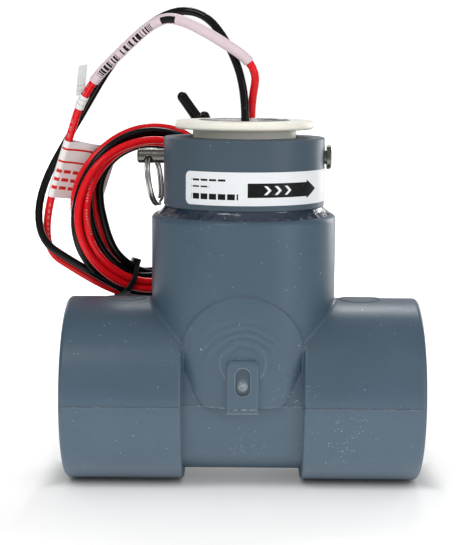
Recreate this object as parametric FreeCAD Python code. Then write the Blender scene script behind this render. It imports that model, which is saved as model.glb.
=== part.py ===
"""Irrigation flow sensor: a pipe tee with a plug-in impeller sensor, its pin, ring and leads.

Millimetres. +X is the flow direction, +Z is up along the branch, -Y is the front.
The origin is under the branch axis, on the surface that the two run hubs stand on.
"""
import math
import os

import FreeCAD
import Part

V = FreeCAD.Vector
UP = V(0, 0, 1)
FLOW = V(1, 0, 0)
BACK = V(0, 1, 0)

# Tee, one moulding for 60.3 mm pipe
hub_radius = 36.5
run_height = hub_radius
branch_radius = 36.4
centre_radius = 32.15
hub_inner_face = 23.3
hub_outer_face = 70.1
branch_top = 107.3
hub_end_rounding = 2.0
hub_shoulder_rounding = 1.2
mitre_rounding = 1.2
socket_radius = 30.25
socket_depth = 38.0
socket_chamfer = 1.2
waterway_radius = 24.6

# Front of the tee: flow leader, gate boss and the seam of the mould
leader_radius = 23.7
leader_height = 55.3
leader_proud = 0.7
leader_rounding = 0.45
pad_radius = 8.8
pad_height = 54.0
pad_proud = 1.05
pad_rounding = 0.3
gate_half_width = 6.35
gate_bottom = 34.8
gate_top = 55.5
gate_face = -38.7
gate_corner = 2.8
gate_rounding = 1.2
gate_mark_half_width = 2.8
gate_mark_low = 44.5
gate_mark_high = 49.6
gate_mark_depth = 0.9
scar_radius = 2.0
scar_height = 45.4
scar_proud = 0.45
seam_proud = 0.18
seam_half_width = 0.2
hub_mark_place = 46.7
hub_mark_length = 16.5
hub_mark_width = 12.0
hub_mark_rim = 0.7
hub_mark_proud = 0.3

# Sleeve that is cemented in the branch
spigot_radius = 30.15
sleeve_bottom = 69.6
collar_radius = 31.7
collar_bottom = 110.5
collar_top = 137.4
collar_edge = 0.5
bore_radius = 20.5
bore_chamfer = 1.5
bead_foot = 3.9
bead_head = 1.2

# Sensor housing
barrel_radius = 20.3
barrel_bottom = 64.0
barrel_edge = 0.8
flange_radius = 27.2
flange_bottom = 140.5
flange_top = 143.9
flange_rounding = 1.3
groove_heights = (82.0, 92.0)
groove_radius = 18.2
groove_width = 3.2
o_ring_section = 1.12
well_radius = 18.0
well_floor = 138.5
cavity_radius = 15.0
cavity_floor = 67.5
rib_half_width = 5.2
rib_half_height = 6.0
nose_radius = 15.5
nose_bottom = 42.5
nose_edge = 1.0
slot_half_width = 6.6
slot_radius = 12.0
potting_top = 143.0

# Impeller and its shaft
shaft_height = 51.0
shaft_radius = 1.5
shaft_front = -12.2
shaft_back = 12.5
impeller_radius = 10.6
impeller_half_width = 5.7
impeller_hub_radius = 4.0
blade_count = 6
blade_thickness = 1.5
blade_sweep = 9.0
bush_radius = 2.4
bush_bore = 1.55
bush_inner_end = 0.2
bush_collar_radius = 3.2
bush_collar_end = 6.2

# Electronics inside the housing
core_radius = 2.5
core_top = 77.0
bobbin_tube_radius = 3.3
bobbin_flange_radius = 8.5
bobbin_flange = 0.8
bobbin_top = 76.5
winding_radius = 7.8
board_half_width = 10.0
board_face = 7.2
board_thickness = 1.6
board_bottom = 79.0
board_top = 120.0
tail_radius = 0.8

# Clevis pin and split ring
pin_height = 129.6
pin_radius = 2.85
pin_hole_radius = 3.15
pin_end = -42.1
pin_end_chamfer = 0.6
pin_head_start = 32.5
pin_head_end = 34.3
pin_head_radius = 4.8
pin_head_rounding = 0.9
cross_hole_place = -37.6
cross_hole_radius = 1.9
cross_hole_tilt = 36.0
ring_radius = 10.4
ring_wire_radius = 0.56
ring_pitch = 1.2
ring_gap = 30.0
ring_lean = 14.0
ring_swing = 11.0
ring_skew = 6.0
ring_rise = 0.3

# Flow label on the collar
label_thickness = 0.15
label_low = 112.9
label_high = 125.5
label_start = -134.0
label_sweep = 160.0
label_corner = 1.6

# Leads
lead_radius = 1.62
arc_share = 0.45
black_route = (
    (0.3, -0.8, potting_top), (0.2, -0.8, 156.0), (-5.7, 3.0, 172.6), (-16.4, 7.5, 186.3),
    (-31.9, 12.0, 186.3), (-51.1, 20.0, 170.9), (-69.3, 33.0, 142.0), (-85.9, 32.5, 113.3),
    (-85.7, 28.5, 92.7), (-72.5, 26.8, 84.2), (-58.8, 27.5, 76.4), (-50.3, 28.4, 73.4),
)
red_route = (
    (2.7, 3.2, potting_top), (2.6, 3.2, 150.5), (5.3, 0.0, 165.1), (-12.5, -3.0, 176.5),
    (-25.3, 1.2, 182.9), (-33.6, 4.3, 183.3), (-44.8, 9.0, 174.6), (-65.2, 20.5, 155.2),
    (-73.3, 29.0, 132.2), (-82.7, 33.0, 105.2), (-82.9, 33.5, 86.9), (-71.3, 32.0, 79.8),
    (-60.8, 31.2, 73.8), (-53.9, 30.8, 71.0),
)
black_end_route = (
    (-14.4, 46.4, 117.5), (-13.6, 49.5, 129.5), (-17.2, 50.0, 139.5), (-23.5, 50.0, 147.5),
)
red_end_route = (
    (-11.2, 47.6, 115.9), (-9.6, 52.5, 124.5), (-12.5, 55.0, 132.5), (-15.3, 55.6, 139.0),
)
cap_radius = 2.3
cap_bore = 1.67
black_cap_length = 13.1
red_cap_length = 11.0

# Coil of both leads, an oval section turned about the coil's own axis
coil_centre = V(-39.6, 33.5, 104.4)
coil_yaw = 20.0
coil_radius = 29.2
coil_half_width = 8.2
coil_half_depth = 5.4
tie_angle = 253.5
tie_sweep = 4.4
tie_thickness = 0.9
tie_head = (4.6, 3.6, 5.2)

# Pieces on the red lead, by their distance along it
sleeve_start = 24.5
sleeve_end = 104.5
sleeve_bore = 1.67
sleeve_radius = 2.15
band_bore = 1.67
band_radius = 2.02
small_band = (112.0, 118.3)
small_flag_corner = V(-66.6, 22.4, 150.5)
small_flag_side = V(-3.4, 1.2, -0.6)
small_flag_rise = V(1.4, -0.6, 13.0)
large_band = (133.3, 158.7)
large_flag_reach = 23.0
large_flag_yaw = 29.0
flag_thickness = 0.3


def cylinder(radius, start, end):
    """A solid cylinder between two points."""
    axis = end - start
    return Part.makeCylinder(radius, axis.Length, start, axis)


def upright(radius, low, high):
    """A solid cylinder on the branch axis between two heights."""
    return cylinder(radius, V(0, 0, low), V(0, 0, high))


def block(x_range, y_range, z_range):
    """A box between two values on each axis."""
    size = [high - low for low, high in (x_range, y_range, z_range)]
    return Part.makeBox(*size, V(x_range[0], y_range[0], z_range[0]))


def turned(profile):
    """Turn a closed profile of (radius, height) pairs about the branch axis."""
    corners = [V(radius, 0, height) for radius, height in profile]
    face = Part.Face(Part.makePolygon(corners + corners[:1]))
    return face.revolve(V(0, 0, 0), UP, 360)


def circles(shape, radius, keep):
    """The circular edges of a radius whose centre passes the test."""
    found = []
    for edge in shape.Edges:
        if isinstance(edge.Curve, Part.Circle) and abs(edge.Curve.Radius - radius) < 1e-6:
            if keep(edge.Curve.Center):
                found.append(edge)
    return found


def run_hub(side):
    """One hub of the run, with a rounded end and a rounded shoulder."""
    start = V(side * hub_inner_face, 0, run_height)
    end = V(side * hub_outer_face, 0, run_height)
    hub = cylinder(hub_radius, start, end)
    outer = circles(hub, hub_radius, lambda centre: (centre - end).Length < 1e-6)
    hub = hub.makeFillet(hub_end_rounding, outer)
    inner = circles(hub, hub_radius, lambda centre: (centre - start).Length < 1e-6)
    return hub.makeFillet(hub_shoulder_rounding, inner)


def swelling(side, radius, height, proud, rounding):
    """A shallow round swelling of the branch wall, on the front or the back."""
    low = V(0, 0, height)
    disc = cylinder(radius, low, low + BACK * side * (hub_radius + 5))
    skin = upright(branch_radius + proud, run_height, height + radius + 5)
    raised = disc.common(skin)
    rim = []
    for edge in raised.Edges:
        middle = edge.valueAt((edge.FirstParameter + edge.LastParameter) / 2)
        outward = math.hypot(middle.x, middle.y)
        if abs(outward - branch_radius - proud) < 1e-3 and middle.z > run_height + 1:
            rim.append(edge)
    return raised.makeFillet(rounding, rim)


def flow_leader(side):
    """The wide arched swelling between the hubs."""
    return swelling(side, leader_radius, leader_height, leader_proud, leader_rounding)


def gate_pad():
    """The smaller arched swelling above the gate boss."""
    return swelling(-1, pad_radius, pad_height, pad_proud, pad_rounding)


def gate_boss():
    """The rounded boss over the gate, with an oval mark and the scar of the gate in its face."""
    boss = block((-gate_half_width, gate_half_width), (gate_face, -hub_inner_face), (gate_bottom, gate_top))
    corners = []
    for edge in boss.Edges:
        middle = edge.CenterOfMass
        at_top = abs(middle.z - gate_top) < 1e-6
        at_side = abs(abs(middle.x) - gate_half_width) < 1e-6
        if at_top and at_side:
            corners.append(edge)
    boss = boss.makeFillet(gate_corner, corners)
    front = [edge for edge in boss.Edges
             if edge.BoundBox.YMax < gate_face + 1e-6 and edge.CenterOfMass.z > gate_bottom + 1]
    boss = boss.makeFillet(gate_rounding, front)
    floor = gate_face + gate_mark_depth
    mark = block((-gate_mark_half_width, gate_mark_half_width), (gate_face - 1, floor),
                 (gate_mark_low, gate_mark_high))
    for height in (gate_mark_low, gate_mark_high):
        mark = mark.fuse(cylinder(gate_mark_half_width, V(0, gate_face - 1, height), V(0, floor, height)))
    scar = cylinder(scar_radius, V(0, floor + 1, scar_height), V(0, floor - scar_proud, scar_height))
    return boss.cut(mark).fuse(scar).removeSplitter()


def mould_seam():
    """The thin raised line that the two mould halves leave along the run."""
    half = centre_radius + seam_proud
    strips = [block((-hub_inner_face, hub_inner_face), (-half, half),
                    (run_height - seam_half_width, run_height + seam_half_width))]
    half = hub_radius + seam_proud
    for side in (-1, 1):
        near = side * hub_inner_face + side * hub_shoulder_rounding
        far = side * hub_outer_face - side * hub_end_rounding
        strips.append(block((min(near, far), max(near, far)), (-half, half),
                            (run_height - seam_half_width, run_height + seam_half_width)))
    return strips


def hub_mark(place):
    """A bare oval rim moulded on the top of a run hub."""
    columns = []
    for inset in (0, hub_mark_rim):
        oval = Part.Ellipse(V(place, 0, 0), hub_mark_length / 2 - inset, hub_mark_width / 2 - inset).toShape()
        columns.append(Part.Face(Part.Wire(oval)).extrude(V(0, 0, 3 * run_height)))
    column = columns[0].cut(columns[1])
    skin = cylinder(hub_radius + hub_mark_proud, V(place - hub_mark_length, 0, run_height),
                    V(place + hub_mark_length, 0, run_height))
    upper = block((place - hub_mark_length, place + hub_mark_length), (-hub_radius, hub_radius),
                  (run_height, 3 * run_height))
    return column.common(skin).common(upper)


def mitre_edges(body):
    """The edges where the branch meets the tops of the run hubs."""
    edges = []
    for edge in body.Edges:
        middle = edge.valueAt((edge.FirstParameter + edge.LastParameter) / 2)
        on_branch = abs(math.hypot(middle.x, middle.y) - branch_radius) < 0.02
        on_hub = abs(math.hypot(middle.y, middle.z - run_height) - hub_radius) < 0.02
        if on_branch and on_hub and abs(middle.x) > hub_inner_face + 1 and middle.z > run_height + 5:
            edges.append(edge)
    return edges


def make_tee():
    """The tee body: three hubs, the centre, the front details and the sockets."""
    body = cylinder(centre_radius, V(-hub_inner_face, 0, run_height), V(hub_inner_face, 0, run_height))
    branch = upright(branch_radius, run_height, branch_top)
    top = circles(branch, branch_radius, lambda centre: centre.z > branch_top - 1)
    branch = branch.makeFillet(hub_end_rounding, top)
    body = body.fuse([run_hub(-1), run_hub(1), branch]).removeSplitter()
    body = body.makeFillet(mitre_rounding, mitre_edges(body))
    body = body.fuse([flow_leader(-1), flow_leader(1), gate_pad(), gate_boss()])
    body = body.fuse(mould_seam())
    body = body.fuse([hub_mark(-hub_mark_place), hub_mark(hub_mark_place)])
    body = body.removeSplitter()
    inlet = V(-hub_outer_face - 1, 0, run_height)
    outlet = V(hub_outer_face + 1, 0, run_height)
    body = body.cut(cylinder(waterway_radius, inlet, outlet).fuse(
        upright(waterway_radius, run_height, branch_top + 1)))
    body = body.cut(upright(socket_radius, branch_top - socket_depth, branch_top + 1))
    for side in (-1, 1):
        mouth = V(side * hub_outer_face, 0, run_height)
        inward = FLOW * -side
        body = body.cut(Part.makeCylinder(socket_radius, socket_depth, mouth, inward))
        body = body.cut(Part.makeCone(socket_radius + socket_chamfer, socket_radius,
                                      socket_chamfer, mouth, inward))
    return body


def make_sleeve():
    """The sleeve: spigot below, collar above, bored for the sensor and the pin."""
    sleeve = turned((
        (bore_radius, sleeve_bottom), (spigot_radius, sleeve_bottom), (spigot_radius, collar_bottom),
        (collar_radius - collar_edge, collar_bottom), (collar_radius, collar_bottom + collar_edge),
        (collar_radius, collar_top - collar_edge), (collar_radius - collar_edge, collar_top),
        (bore_radius + bore_chamfer, collar_top), (bore_radius, collar_top - bore_chamfer)))
    return sleeve.cut(pin_bore())


def pin_bore():
    """The straight hole for the clevis pin, right across the sleeve."""
    reach = collar_radius + 5
    return cylinder(pin_hole_radius, V(-reach, 0, pin_height), V(reach, 0, pin_height))


def make_cement_bead():
    """The ring of set cement squeezed out between the branch and the collar."""
    height = collar_bottom - branch_top
    return turned((
        (spigot_radius, branch_top), (spigot_radius + bead_foot, branch_top),
        (spigot_radius + bead_foot * 0.85, branch_top + height * 0.16),
        (spigot_radius + bead_foot * 0.6, branch_top + height * 0.38),
        (spigot_radius + bead_foot * 0.42, branch_top + height * 0.68),
        (spigot_radius + bead_head, collar_bottom), (spigot_radius, collar_bottom)))


def housing_cavity():
    """The hollow of the housing, with the rib that the pin passes through left standing."""
    hollow = upright(well_radius, well_floor, flange_top + 1)
    hollow = hollow.fuse(upright(cavity_radius, cavity_floor, well_floor))
    rib = block((-cavity_radius, cavity_radius), (-rib_half_width, rib_half_width),
                (pin_height - rib_half_height, pin_height + rib_half_height))
    return hollow.cut(rib)


def impeller_slot():
    """The gap in the nose that the impeller turns in."""
    slot = block((-barrel_radius, barrel_radius), (-slot_half_width, slot_half_width),
                 (nose_bottom - 1, shaft_height))
    roof = cylinder(slot_radius, V(0, -slot_half_width, shaft_height), V(0, slot_half_width, shaft_height))
    return slot.fuse(roof)


def make_housing():
    """The sensor housing: flange, barrel with grooves, and the fork for the impeller."""
    body = turned((
        (0, nose_bottom), (nose_radius - nose_edge, nose_bottom), (nose_radius, nose_bottom + nose_edge),
        (nose_radius, barrel_bottom), (barrel_radius - barrel_edge, barrel_bottom),
        (barrel_radius, barrel_bottom + barrel_edge), (barrel_radius, flange_bottom),
        (flange_radius, flange_bottom), (flange_radius, flange_top), (0, flange_top)))
    rims = circles(body, flange_radius, lambda centre: True)
    body = body.makeFillet(flange_rounding, rims)
    for height in groove_heights:
        ring = upright(barrel_radius + 1, height - groove_width / 2, height + groove_width / 2)
        body = body.cut(ring.cut(upright(groove_radius, height - groove_width, height + groove_width)))
    body = body.cut(housing_cavity())
    body = body.cut(impeller_slot())
    body = body.cut(pin_bore())
    shaft_hole = cylinder(shaft_radius, V(0, -nose_radius - 1, shaft_height), V(0, shaft_back, shaft_height))
    return body.cut(shaft_hole)


def make_o_rings():
    """The two sealing rings in the grooves of the barrel."""
    middle = (groove_radius + bore_radius) / 2
    return Part.makeCompound([Part.makeTorus(middle, o_ring_section, V(0, 0, height))
                              for height in groove_heights])


def make_core():
    """The ferrite core on the floor of the cavity."""
    return upright(core_radius, cavity_floor, core_top)


def make_bobbin():
    """The spool that the sensing wire is wound on."""
    return turned((
        (core_radius, cavity_floor), (bobbin_flange_radius, cavity_floor),
        (bobbin_flange_radius, cavity_floor + bobbin_flange), (bobbin_tube_radius, cavity_floor + bobbin_flange),
        (bobbin_tube_radius, bobbin_top - bobbin_flange), (bobbin_flange_radius, bobbin_top - bobbin_flange),
        (bobbin_flange_radius, bobbin_top), (core_radius, bobbin_top)))


def make_winding():
    """The sensing wire, as one block of turns."""
    low = cavity_floor + bobbin_flange
    high = bobbin_top - bobbin_flange
    return upright(winding_radius, low, high).cut(upright(bobbin_tube_radius, low, high))


def make_board():
    """The circuit board, upright behind the rib."""
    return block((-board_half_width, board_half_width), (board_face, board_face + board_thickness),
                 (board_bottom, board_top))


def make_board_components():
    """Chip, capacitor and resistors on the front of the board."""
    chip = block((-3.0, 3.0), (board_face - 1.6, board_face), (96.0, 105.0))
    capacitor = cylinder(2.5, V(-5.5, board_face, 87.0), V(-5.5, board_face - 5.5, 87.0))
    parts = [chip, capacitor]
    for height in (84.0, 88.0, 92.0):
        parts.append(block((3.0, 6.2), (board_face - 0.7, board_face), (height, height + 1.6)))
    return Part.makeCompound(parts)


def make_lead_tails():
    """The inner ends of both leads, from the potting's face down to the board."""
    tails = []
    for start, foot in ((black_route[0], -4.0), (red_route[0], 4.0)):
        floor = board_face + board_thickness / 2
        corners = (start, (start[0], start[1], potting_top - 3), (foot, floor, potting_top - 6.5),
                   (foot, floor, board_top))
        tails.append(tube(route_edges(corners), tail_radius))
    return Part.makeCompound(tails)


def make_potting(embedded):
    """The potting: everything in the cavity that the embedded parts leave free."""
    fill = housing_cavity().common(upright(well_radius + 1, cavity_floor, potting_top))
    for piece in embedded:
        fill = fill.cut(piece)
    return fill


def make_shaft():
    """The impeller shaft, pressed in the two legs of the fork."""
    return cylinder(shaft_radius, V(0, shaft_front, shaft_height), V(0, shaft_back, shaft_height))


def impeller_blade(angle):
    """One blade, swept in an arc from the hub to the tip."""
    centre = V(blade_sweep, 0, shaft_height)
    front = BACK * -impeller_half_width
    back = BACK * impeller_half_width
    outside = cylinder(blade_sweep + blade_thickness / 2, centre + front, centre + back)
    inside = cylinder(blade_sweep - blade_thickness / 2, centre + front, centre + back)
    half = block((-impeller_radius, 2 * blade_sweep), (-impeller_half_width, impeller_half_width),
                 (shaft_height, shaft_height + 2 * blade_sweep))
    axis = V(0, 0, shaft_height)
    blade = outside.cut(inside).common(half).common(cylinder(impeller_radius, axis + front, axis + back))
    blade.rotate(axis, BACK, angle)
    return blade


def make_impeller():
    """The impeller: a hub with swept blades, bored for its bushes."""
    axis = V(0, 0, shaft_height)
    front = axis - BACK * impeller_half_width
    back = axis + BACK * impeller_half_width
    wheel = cylinder(impeller_hub_radius, front, back)
    wheel = wheel.fuse([impeller_blade(360.0 * index / blade_count) for index in range(blade_count)])
    return wheel.removeSplitter().cut(cylinder(bush_radius, front, back))


def make_bushes():
    """The two bushes in the impeller, each with a thrust collar outside the hub."""
    axis = V(0, 0, shaft_height)
    bushes = []
    for side in (-1, 1):
        inner = axis + BACK * side * bush_inner_end
        face = axis + BACK * side * impeller_half_width
        outer = axis + BACK * side * bush_collar_end
        bush = cylinder(bush_radius, inner, outer).fuse(cylinder(bush_collar_radius, face, outer))
        bushes.append(bush.removeSplitter().cut(cylinder(bush_bore, inner, outer)))
    return Part.makeCompound(bushes)


def make_pin():
    """The clevis pin: shank, rounded head, and the cross hole for the ring."""
    axis = V(0, 0, pin_height)
    head = cylinder(pin_head_radius, axis + FLOW * pin_head_start, axis + FLOW * pin_head_end)
    rim = circles(head, pin_head_radius, lambda centre: centre.x > pin_head_end - 0.1)
    head = head.makeFillet(pin_head_rounding, rim)
    shank = cylinder(pin_radius, axis + FLOW * pin_end, axis + FLOW * pin_head_start)
    tip = circles(shank, pin_radius, lambda centre: centre.x < 0)
    shank = shank.makeChamfer(pin_end_chamfer, tip)
    middle = V(cross_hole_place, 0, pin_height)
    along = cross_hole_axis() * (2 * pin_radius)
    return shank.fuse(head).removeSplitter().cut(cylinder(cross_hole_radius, middle - along, middle + along))


def raised(tilt):
    """The direction to the back, raised by an angle in degrees."""
    return V(0, math.cos(math.radians(tilt)), math.sin(math.radians(tilt)))


def cross_hole_axis():
    """The direction of the hole through the pin, from the low front to the high back."""
    return raised(cross_hole_tilt)


def ring_turn(level):
    """One open turn of the split ring, its gap at the far side from the pin."""
    turn = Part.makeTorus(ring_radius, ring_wire_radius, V(0, 0, level), UP, 0, 360, 360 - ring_gap)
    turn.rotate(V(0, 0, 0), UP, ring_gap / 2)
    return turn


def ring_step():
    """The slanted piece of wire that joins the end of one turn to the start of the next."""
    half = math.radians(ring_gap / 2)
    out = ring_radius * math.cos(half)
    across = ring_radius * math.sin(half)
    low = V(out, -across, -ring_pitch / 2)
    high = V(out, across, ring_pitch / 2)
    step = cylinder(ring_wire_radius, low, high)
    return step.fuse([Part.makeSphere(ring_wire_radius, low), Part.makeSphere(ring_wire_radius, high)])


def make_split_ring():
    """The split ring: two close turns of wire that lean in the hole of the pin."""
    along = raised(cross_hole_tilt - ring_lean)
    swing = math.radians(ring_swing)
    hang = V(0, along.z, -along.y) * math.cos(swing) + FLOW * math.sin(swing)
    normal = hang.cross(along)
    ring = ring_turn(-ring_pitch / 2).fuse([ring_turn(ring_pitch / 2), ring_step()])
    attitude = FreeCAD.Rotation(hang, along, normal, "XYZ")
    skew = FreeCAD.Rotation(hang, ring_skew)
    centre = V(cross_hole_place, 0, pin_height) + hang * (ring_radius - ring_rise)
    ring.Placement = FreeCAD.Placement(centre, skew.multiply(attitude))
    return ring


def make_label():
    """The flow label: a thin sheet round the front and right of the collar."""
    corners = [V(collar_radius, 0, label_low), V(collar_radius + label_thickness, 0, label_low),
               V(collar_radius + label_thickness, 0, label_high), V(collar_radius, 0, label_high)]
    face = Part.Face(Part.makePolygon(corners + corners[:1]))
    face.rotate(V(0, 0, 0), UP, label_start)
    sheet = face.revolve(V(0, 0, 0), UP, label_sweep)
    short = [edge for edge in sheet.Edges if abs(edge.Length - label_thickness) < 1e-6]
    return sheet.makeFillet(label_corner, short)


def route_edges(corners):
    """Straight runs through the corner points, joined by tangent arcs."""
    points = [V(*corner) for corner in corners]
    edges = []
    radii = []
    last = points[0]
    for before, corner, after in zip(points, points[1:], points[2:]):
        arriving = (corner - before).normalize()
        leaving = (after - corner).normalize()
        reach = arc_share * min((corner - before).Length, (after - corner).Length)
        half_turn = arriving.getAngle(leaving) / 2
        radius = reach / math.tan(half_turn)
        start = corner - arriving * reach
        end = corner + leaving * reach
        inward = (leaving - arriving).normalize()
        middle = corner + inward * (radius / math.cos(half_turn) - radius)
        edges.append(Part.LineSegment(last, start).toShape())
        edges.append(Part.Arc(start, middle, end).toShape())
        radii.append(radius)
        last = end
    edges.append(Part.LineSegment(last, points[-1]).toShape())
    print("bend radii", [round(radius, 1) for radius in radii])
    return edges


def stretch(edges, start, end):
    """The piece of a route between two distances along it."""
    kept = []
    passed = 0.0
    for edge in edges:
        low = max(start - passed, 0.0)
        high = min(end - passed, edge.Length)
        if low < high:
            first = edge.getParameterByLength(low)
            second = edge.getParameterByLength(high)
            kept.append(edge.Curve.toShape(first, second))
        passed += edge.Length
    return kept


def tube(edges, radius):
    """A round solid along a route."""
    path = Part.Wire(edges)
    start = edges[0].valueAt(edges[0].FirstParameter)
    along = edges[0].tangentAt(edges[0].FirstParameter)
    section = Part.Wire(Part.makeCircle(radius, start, along))
    solid = path.makePipeShell([section], True, False)
    print("length", round(path.Length, 1), "volume over section times length",
          round(solid.Volume / (math.pi * radius ** 2 * path.Length), 4))
    return solid


def end_cap(route, length):
    """A vinyl cap over the end of a lead, with a domed tip."""
    points = [V(*corner) for corner in route]
    axis = (points[-1] - points[-2]).normalize()
    reach = arc_share * min((points[-1] - points[-2]).Length, (points[-2] - points[-3]).Length)
    start = points[-2] + axis * reach
    crown = start + axis * (length - cap_radius)
    cap = cylinder(cap_radius, start, crown).fuse(Part.makeSphere(cap_radius, crown))
    return cap.removeSplitter().cut(cylinder(cap_bore, start - axis, points[-1]))


def coil_placement():
    """Turns a shape from the coil's own plane to its place behind the branch."""
    upright_plane = FreeCAD.Rotation(FLOW, 90)
    yaw = FreeCAD.Rotation(UP, coil_yaw)
    return FreeCAD.Placement(coil_centre, yaw.multiply(upright_plane))


def coil_section(grow):
    """The oval section of the coil, grown by a thickness."""
    oval = Part.Ellipse(V(0, 0, 0), coil_half_width + grow, coil_half_depth + grow).toShape()
    face = Part.Face(Part.Wire(oval))
    face.rotate(V(0, 0, 0), FLOW, 90)
    face.translate(FLOW * coil_radius)
    return face


def make_coil():
    """The outer shape of the coiled leads as one closed ring."""
    ring = coil_section(0).revolve(V(0, 0, 0), UP, 360)
    ring.Placement = coil_placement()
    return ring


def make_tie():
    """The cable tie: a strap round the coil and its head."""
    strap = coil_section(tie_thickness).revolve(V(0, 0, 0), UP, tie_sweep)
    strap = strap.cut(coil_section(0).revolve(V(0, 0, 0), UP, tie_sweep))
    along, across, deep = tie_head
    inside = coil_radius - coil_half_width - tie_thickness / 2
    head = block((inside - across, inside), (-along / 2, along / 2), (-deep / 2, deep / 2))
    head.rotate(V(0, 0, 0), UP, tie_sweep / 2)
    tie = strap.fuse(head.cut(coil_section(0).revolve(V(0, 0, 0), UP, 360))).removeSplitter()
    tie.rotate(V(0, 0, 0), UP, tie_angle - tie_sweep / 2)
    tie.Placement = coil_placement().multiply(tie.Placement)
    return tie


def band(edges, start, end, bore, radius):
    """A hollow band round a lead between two distances along it."""
    piece = stretch(edges, start, end)
    return tube(piece, radius).cut(tube(piece, bore))


def sheet(corner, side, rise):
    """A flat thin sheet from a corner along two directions."""
    normal = side.cross(rise).normalize() * flag_thickness
    corners = [corner, corner + side, corner + side + rise, corner + rise]
    face = Part.Face(Part.makePolygon(corners + corners[:1]))
    face.translate(normal * -0.5)
    return face.extrude(normal)


def make_small_flag(edges):
    """The small label: a band round the red lead and a short flag."""
    wrap = band(edges, small_band[0], small_band[1], band_bore, band_radius)
    flag = sheet(small_flag_corner, small_flag_side, small_flag_rise)
    inside = tube(stretch(edges, sleeve_end, large_band[0]), band_bore)
    return wrap.fuse(flag.cut(inside))


def make_large_flag(edges):
    """The large label: a band round the red lead and a flag that passes behind the coil."""
    piece = stretch(edges, large_band[0], large_band[1])
    top = piece[0].valueAt(piece[0].FirstParameter)
    bottom = piece[-1].valueAt(piece[-1].LastParameter)
    yaw = math.radians(large_flag_yaw)
    side = V(math.cos(yaw), math.sin(yaw), 0)
    flag = sheet(top + side, side * large_flag_reach, bottom - top).cut(tube(piece, band_bore))
    wrap = band(edges, large_band[0], large_band[1], band_bore, band_radius)
    return wrap.fuse(flag)


def save(name, shape):
    """Write one node as a STEP file."""
    solids = shape.Solids
    whole = solids[0] if len(solids) == 1 else Part.makeCompound(solids)
    if not solids or not whole.isValid():
        raise ValueError(name + " has no valid solid")
    whole.exportStep("parts/" + name + ".step")
    print(name, len(solids), "solids", round(whole.Volume, 1), "mm3")


def main():
    """Build every node."""
    os.makedirs("parts", exist_ok=True)
    save("tee_body", make_tee())
    save("sensor_sleeve", make_sleeve())
    save("cement_bead", make_cement_bead())
    save("sensor_housing", make_housing())
    save("o_rings", make_o_rings())
    embedded = {
        "ferrite_core": make_core(),
        "coil_bobbin": make_bobbin(),
        "sensing_winding": make_winding(),
        "circuit_board": make_board(),
        "board_components": make_board_components(),
        "lead_tails": make_lead_tails(),
    }
    for name, shape in embedded.items():
        save(name, shape)
    save("potting", make_potting(embedded.values()))
    save("impeller_shaft", make_shaft())
    save("impeller", make_impeller())
    save("impeller_bushes", make_bushes())
    save("clevis_pin", make_pin())
    save("split_ring", make_split_ring())
    save("flow_label", make_label())
    red_edges = route_edges(red_route)
    save("black_lead", tube(route_edges(black_route), lead_radius))
    save("red_lead", tube(red_edges, lead_radius))
    save("lead_coil", make_coil())
    save("cable_tie", make_tie())
    save("black_lead_end", tube(route_edges(black_end_route), lead_radius))
    save("red_lead_end", tube(route_edges(red_end_route), lead_radius))
    save("black_lead_cap", end_cap(black_end_route, black_cap_length))
    save("red_lead_cap", end_cap(red_end_route, red_cap_length))
    save("marker_sleeve", band(red_edges, sleeve_start, sleeve_end, sleeve_bore, sleeve_radius))
    save("small_flag_label", make_small_flag(red_edges))
    save("large_flag_label", make_large_flag(red_edges))


main()
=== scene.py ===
"""Looks of the irrigation flow sensor: finishes, leads, labels, small fittings and studio.

Every length is in metres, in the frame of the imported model: the run of the tee lies along X,
the branch stands along Z and the flow label faces -Y.
"""

import logging
import math
from dataclasses import dataclass
from enum import Enum
from functools import partial, reduce
from typing import Callable, Sequence

import bpy
import numpy as np
from mathutils import Matrix, Vector, noise


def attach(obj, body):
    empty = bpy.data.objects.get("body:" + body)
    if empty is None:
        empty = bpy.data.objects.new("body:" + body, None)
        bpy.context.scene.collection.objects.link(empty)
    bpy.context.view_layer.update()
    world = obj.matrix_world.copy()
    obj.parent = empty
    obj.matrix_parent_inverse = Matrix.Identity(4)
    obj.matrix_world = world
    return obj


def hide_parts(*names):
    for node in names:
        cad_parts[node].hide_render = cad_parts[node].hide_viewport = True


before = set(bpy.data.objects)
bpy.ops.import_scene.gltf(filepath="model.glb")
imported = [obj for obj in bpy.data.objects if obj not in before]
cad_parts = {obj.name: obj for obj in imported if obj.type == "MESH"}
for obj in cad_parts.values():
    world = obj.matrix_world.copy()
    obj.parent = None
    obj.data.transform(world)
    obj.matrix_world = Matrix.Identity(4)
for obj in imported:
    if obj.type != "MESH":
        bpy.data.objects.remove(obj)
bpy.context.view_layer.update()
LOG = logging.getLogger("flow_sensor")

Point = tuple[float, float, float]
Colour = tuple[float, float, float]
Span = tuple[float, float]
Socket = bpy.types.NodeSocket
Node = bpy.types.Node
Piece = bpy.types.Object
Placing = Callable[[float, float], Vector]

TEE = "tee"
RING = "split_ring"
UP = Vector((0, 0, 1))
WHITE = (1.0, 1.0, 1.0, 1.0)


def linear(red: int, green: int, blue: int) -> Colour:
    """Returns the linear light, from 0 to 1, of a screen colour whose parts go from 0 to 255."""
    shares = (value / 255 for value in (red, green, blue))
    return tuple(s / 12.92 if s <= 0.04045 else ((s + 0.055) / 1.055) ** 2.4 for s in shares)


def smooth_step(share: float) -> float:
    """Returns a share held between 0 and 1 and eased at both ends."""
    held = min(max(share, 0.0), 1.0)
    return held * held * (3 - 2 * held)


def heading(angle: float) -> Vector:
    """Returns the level direction at an angle from +X, in radians."""
    return Vector((math.cos(angle), math.sin(angle), 0))


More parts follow.
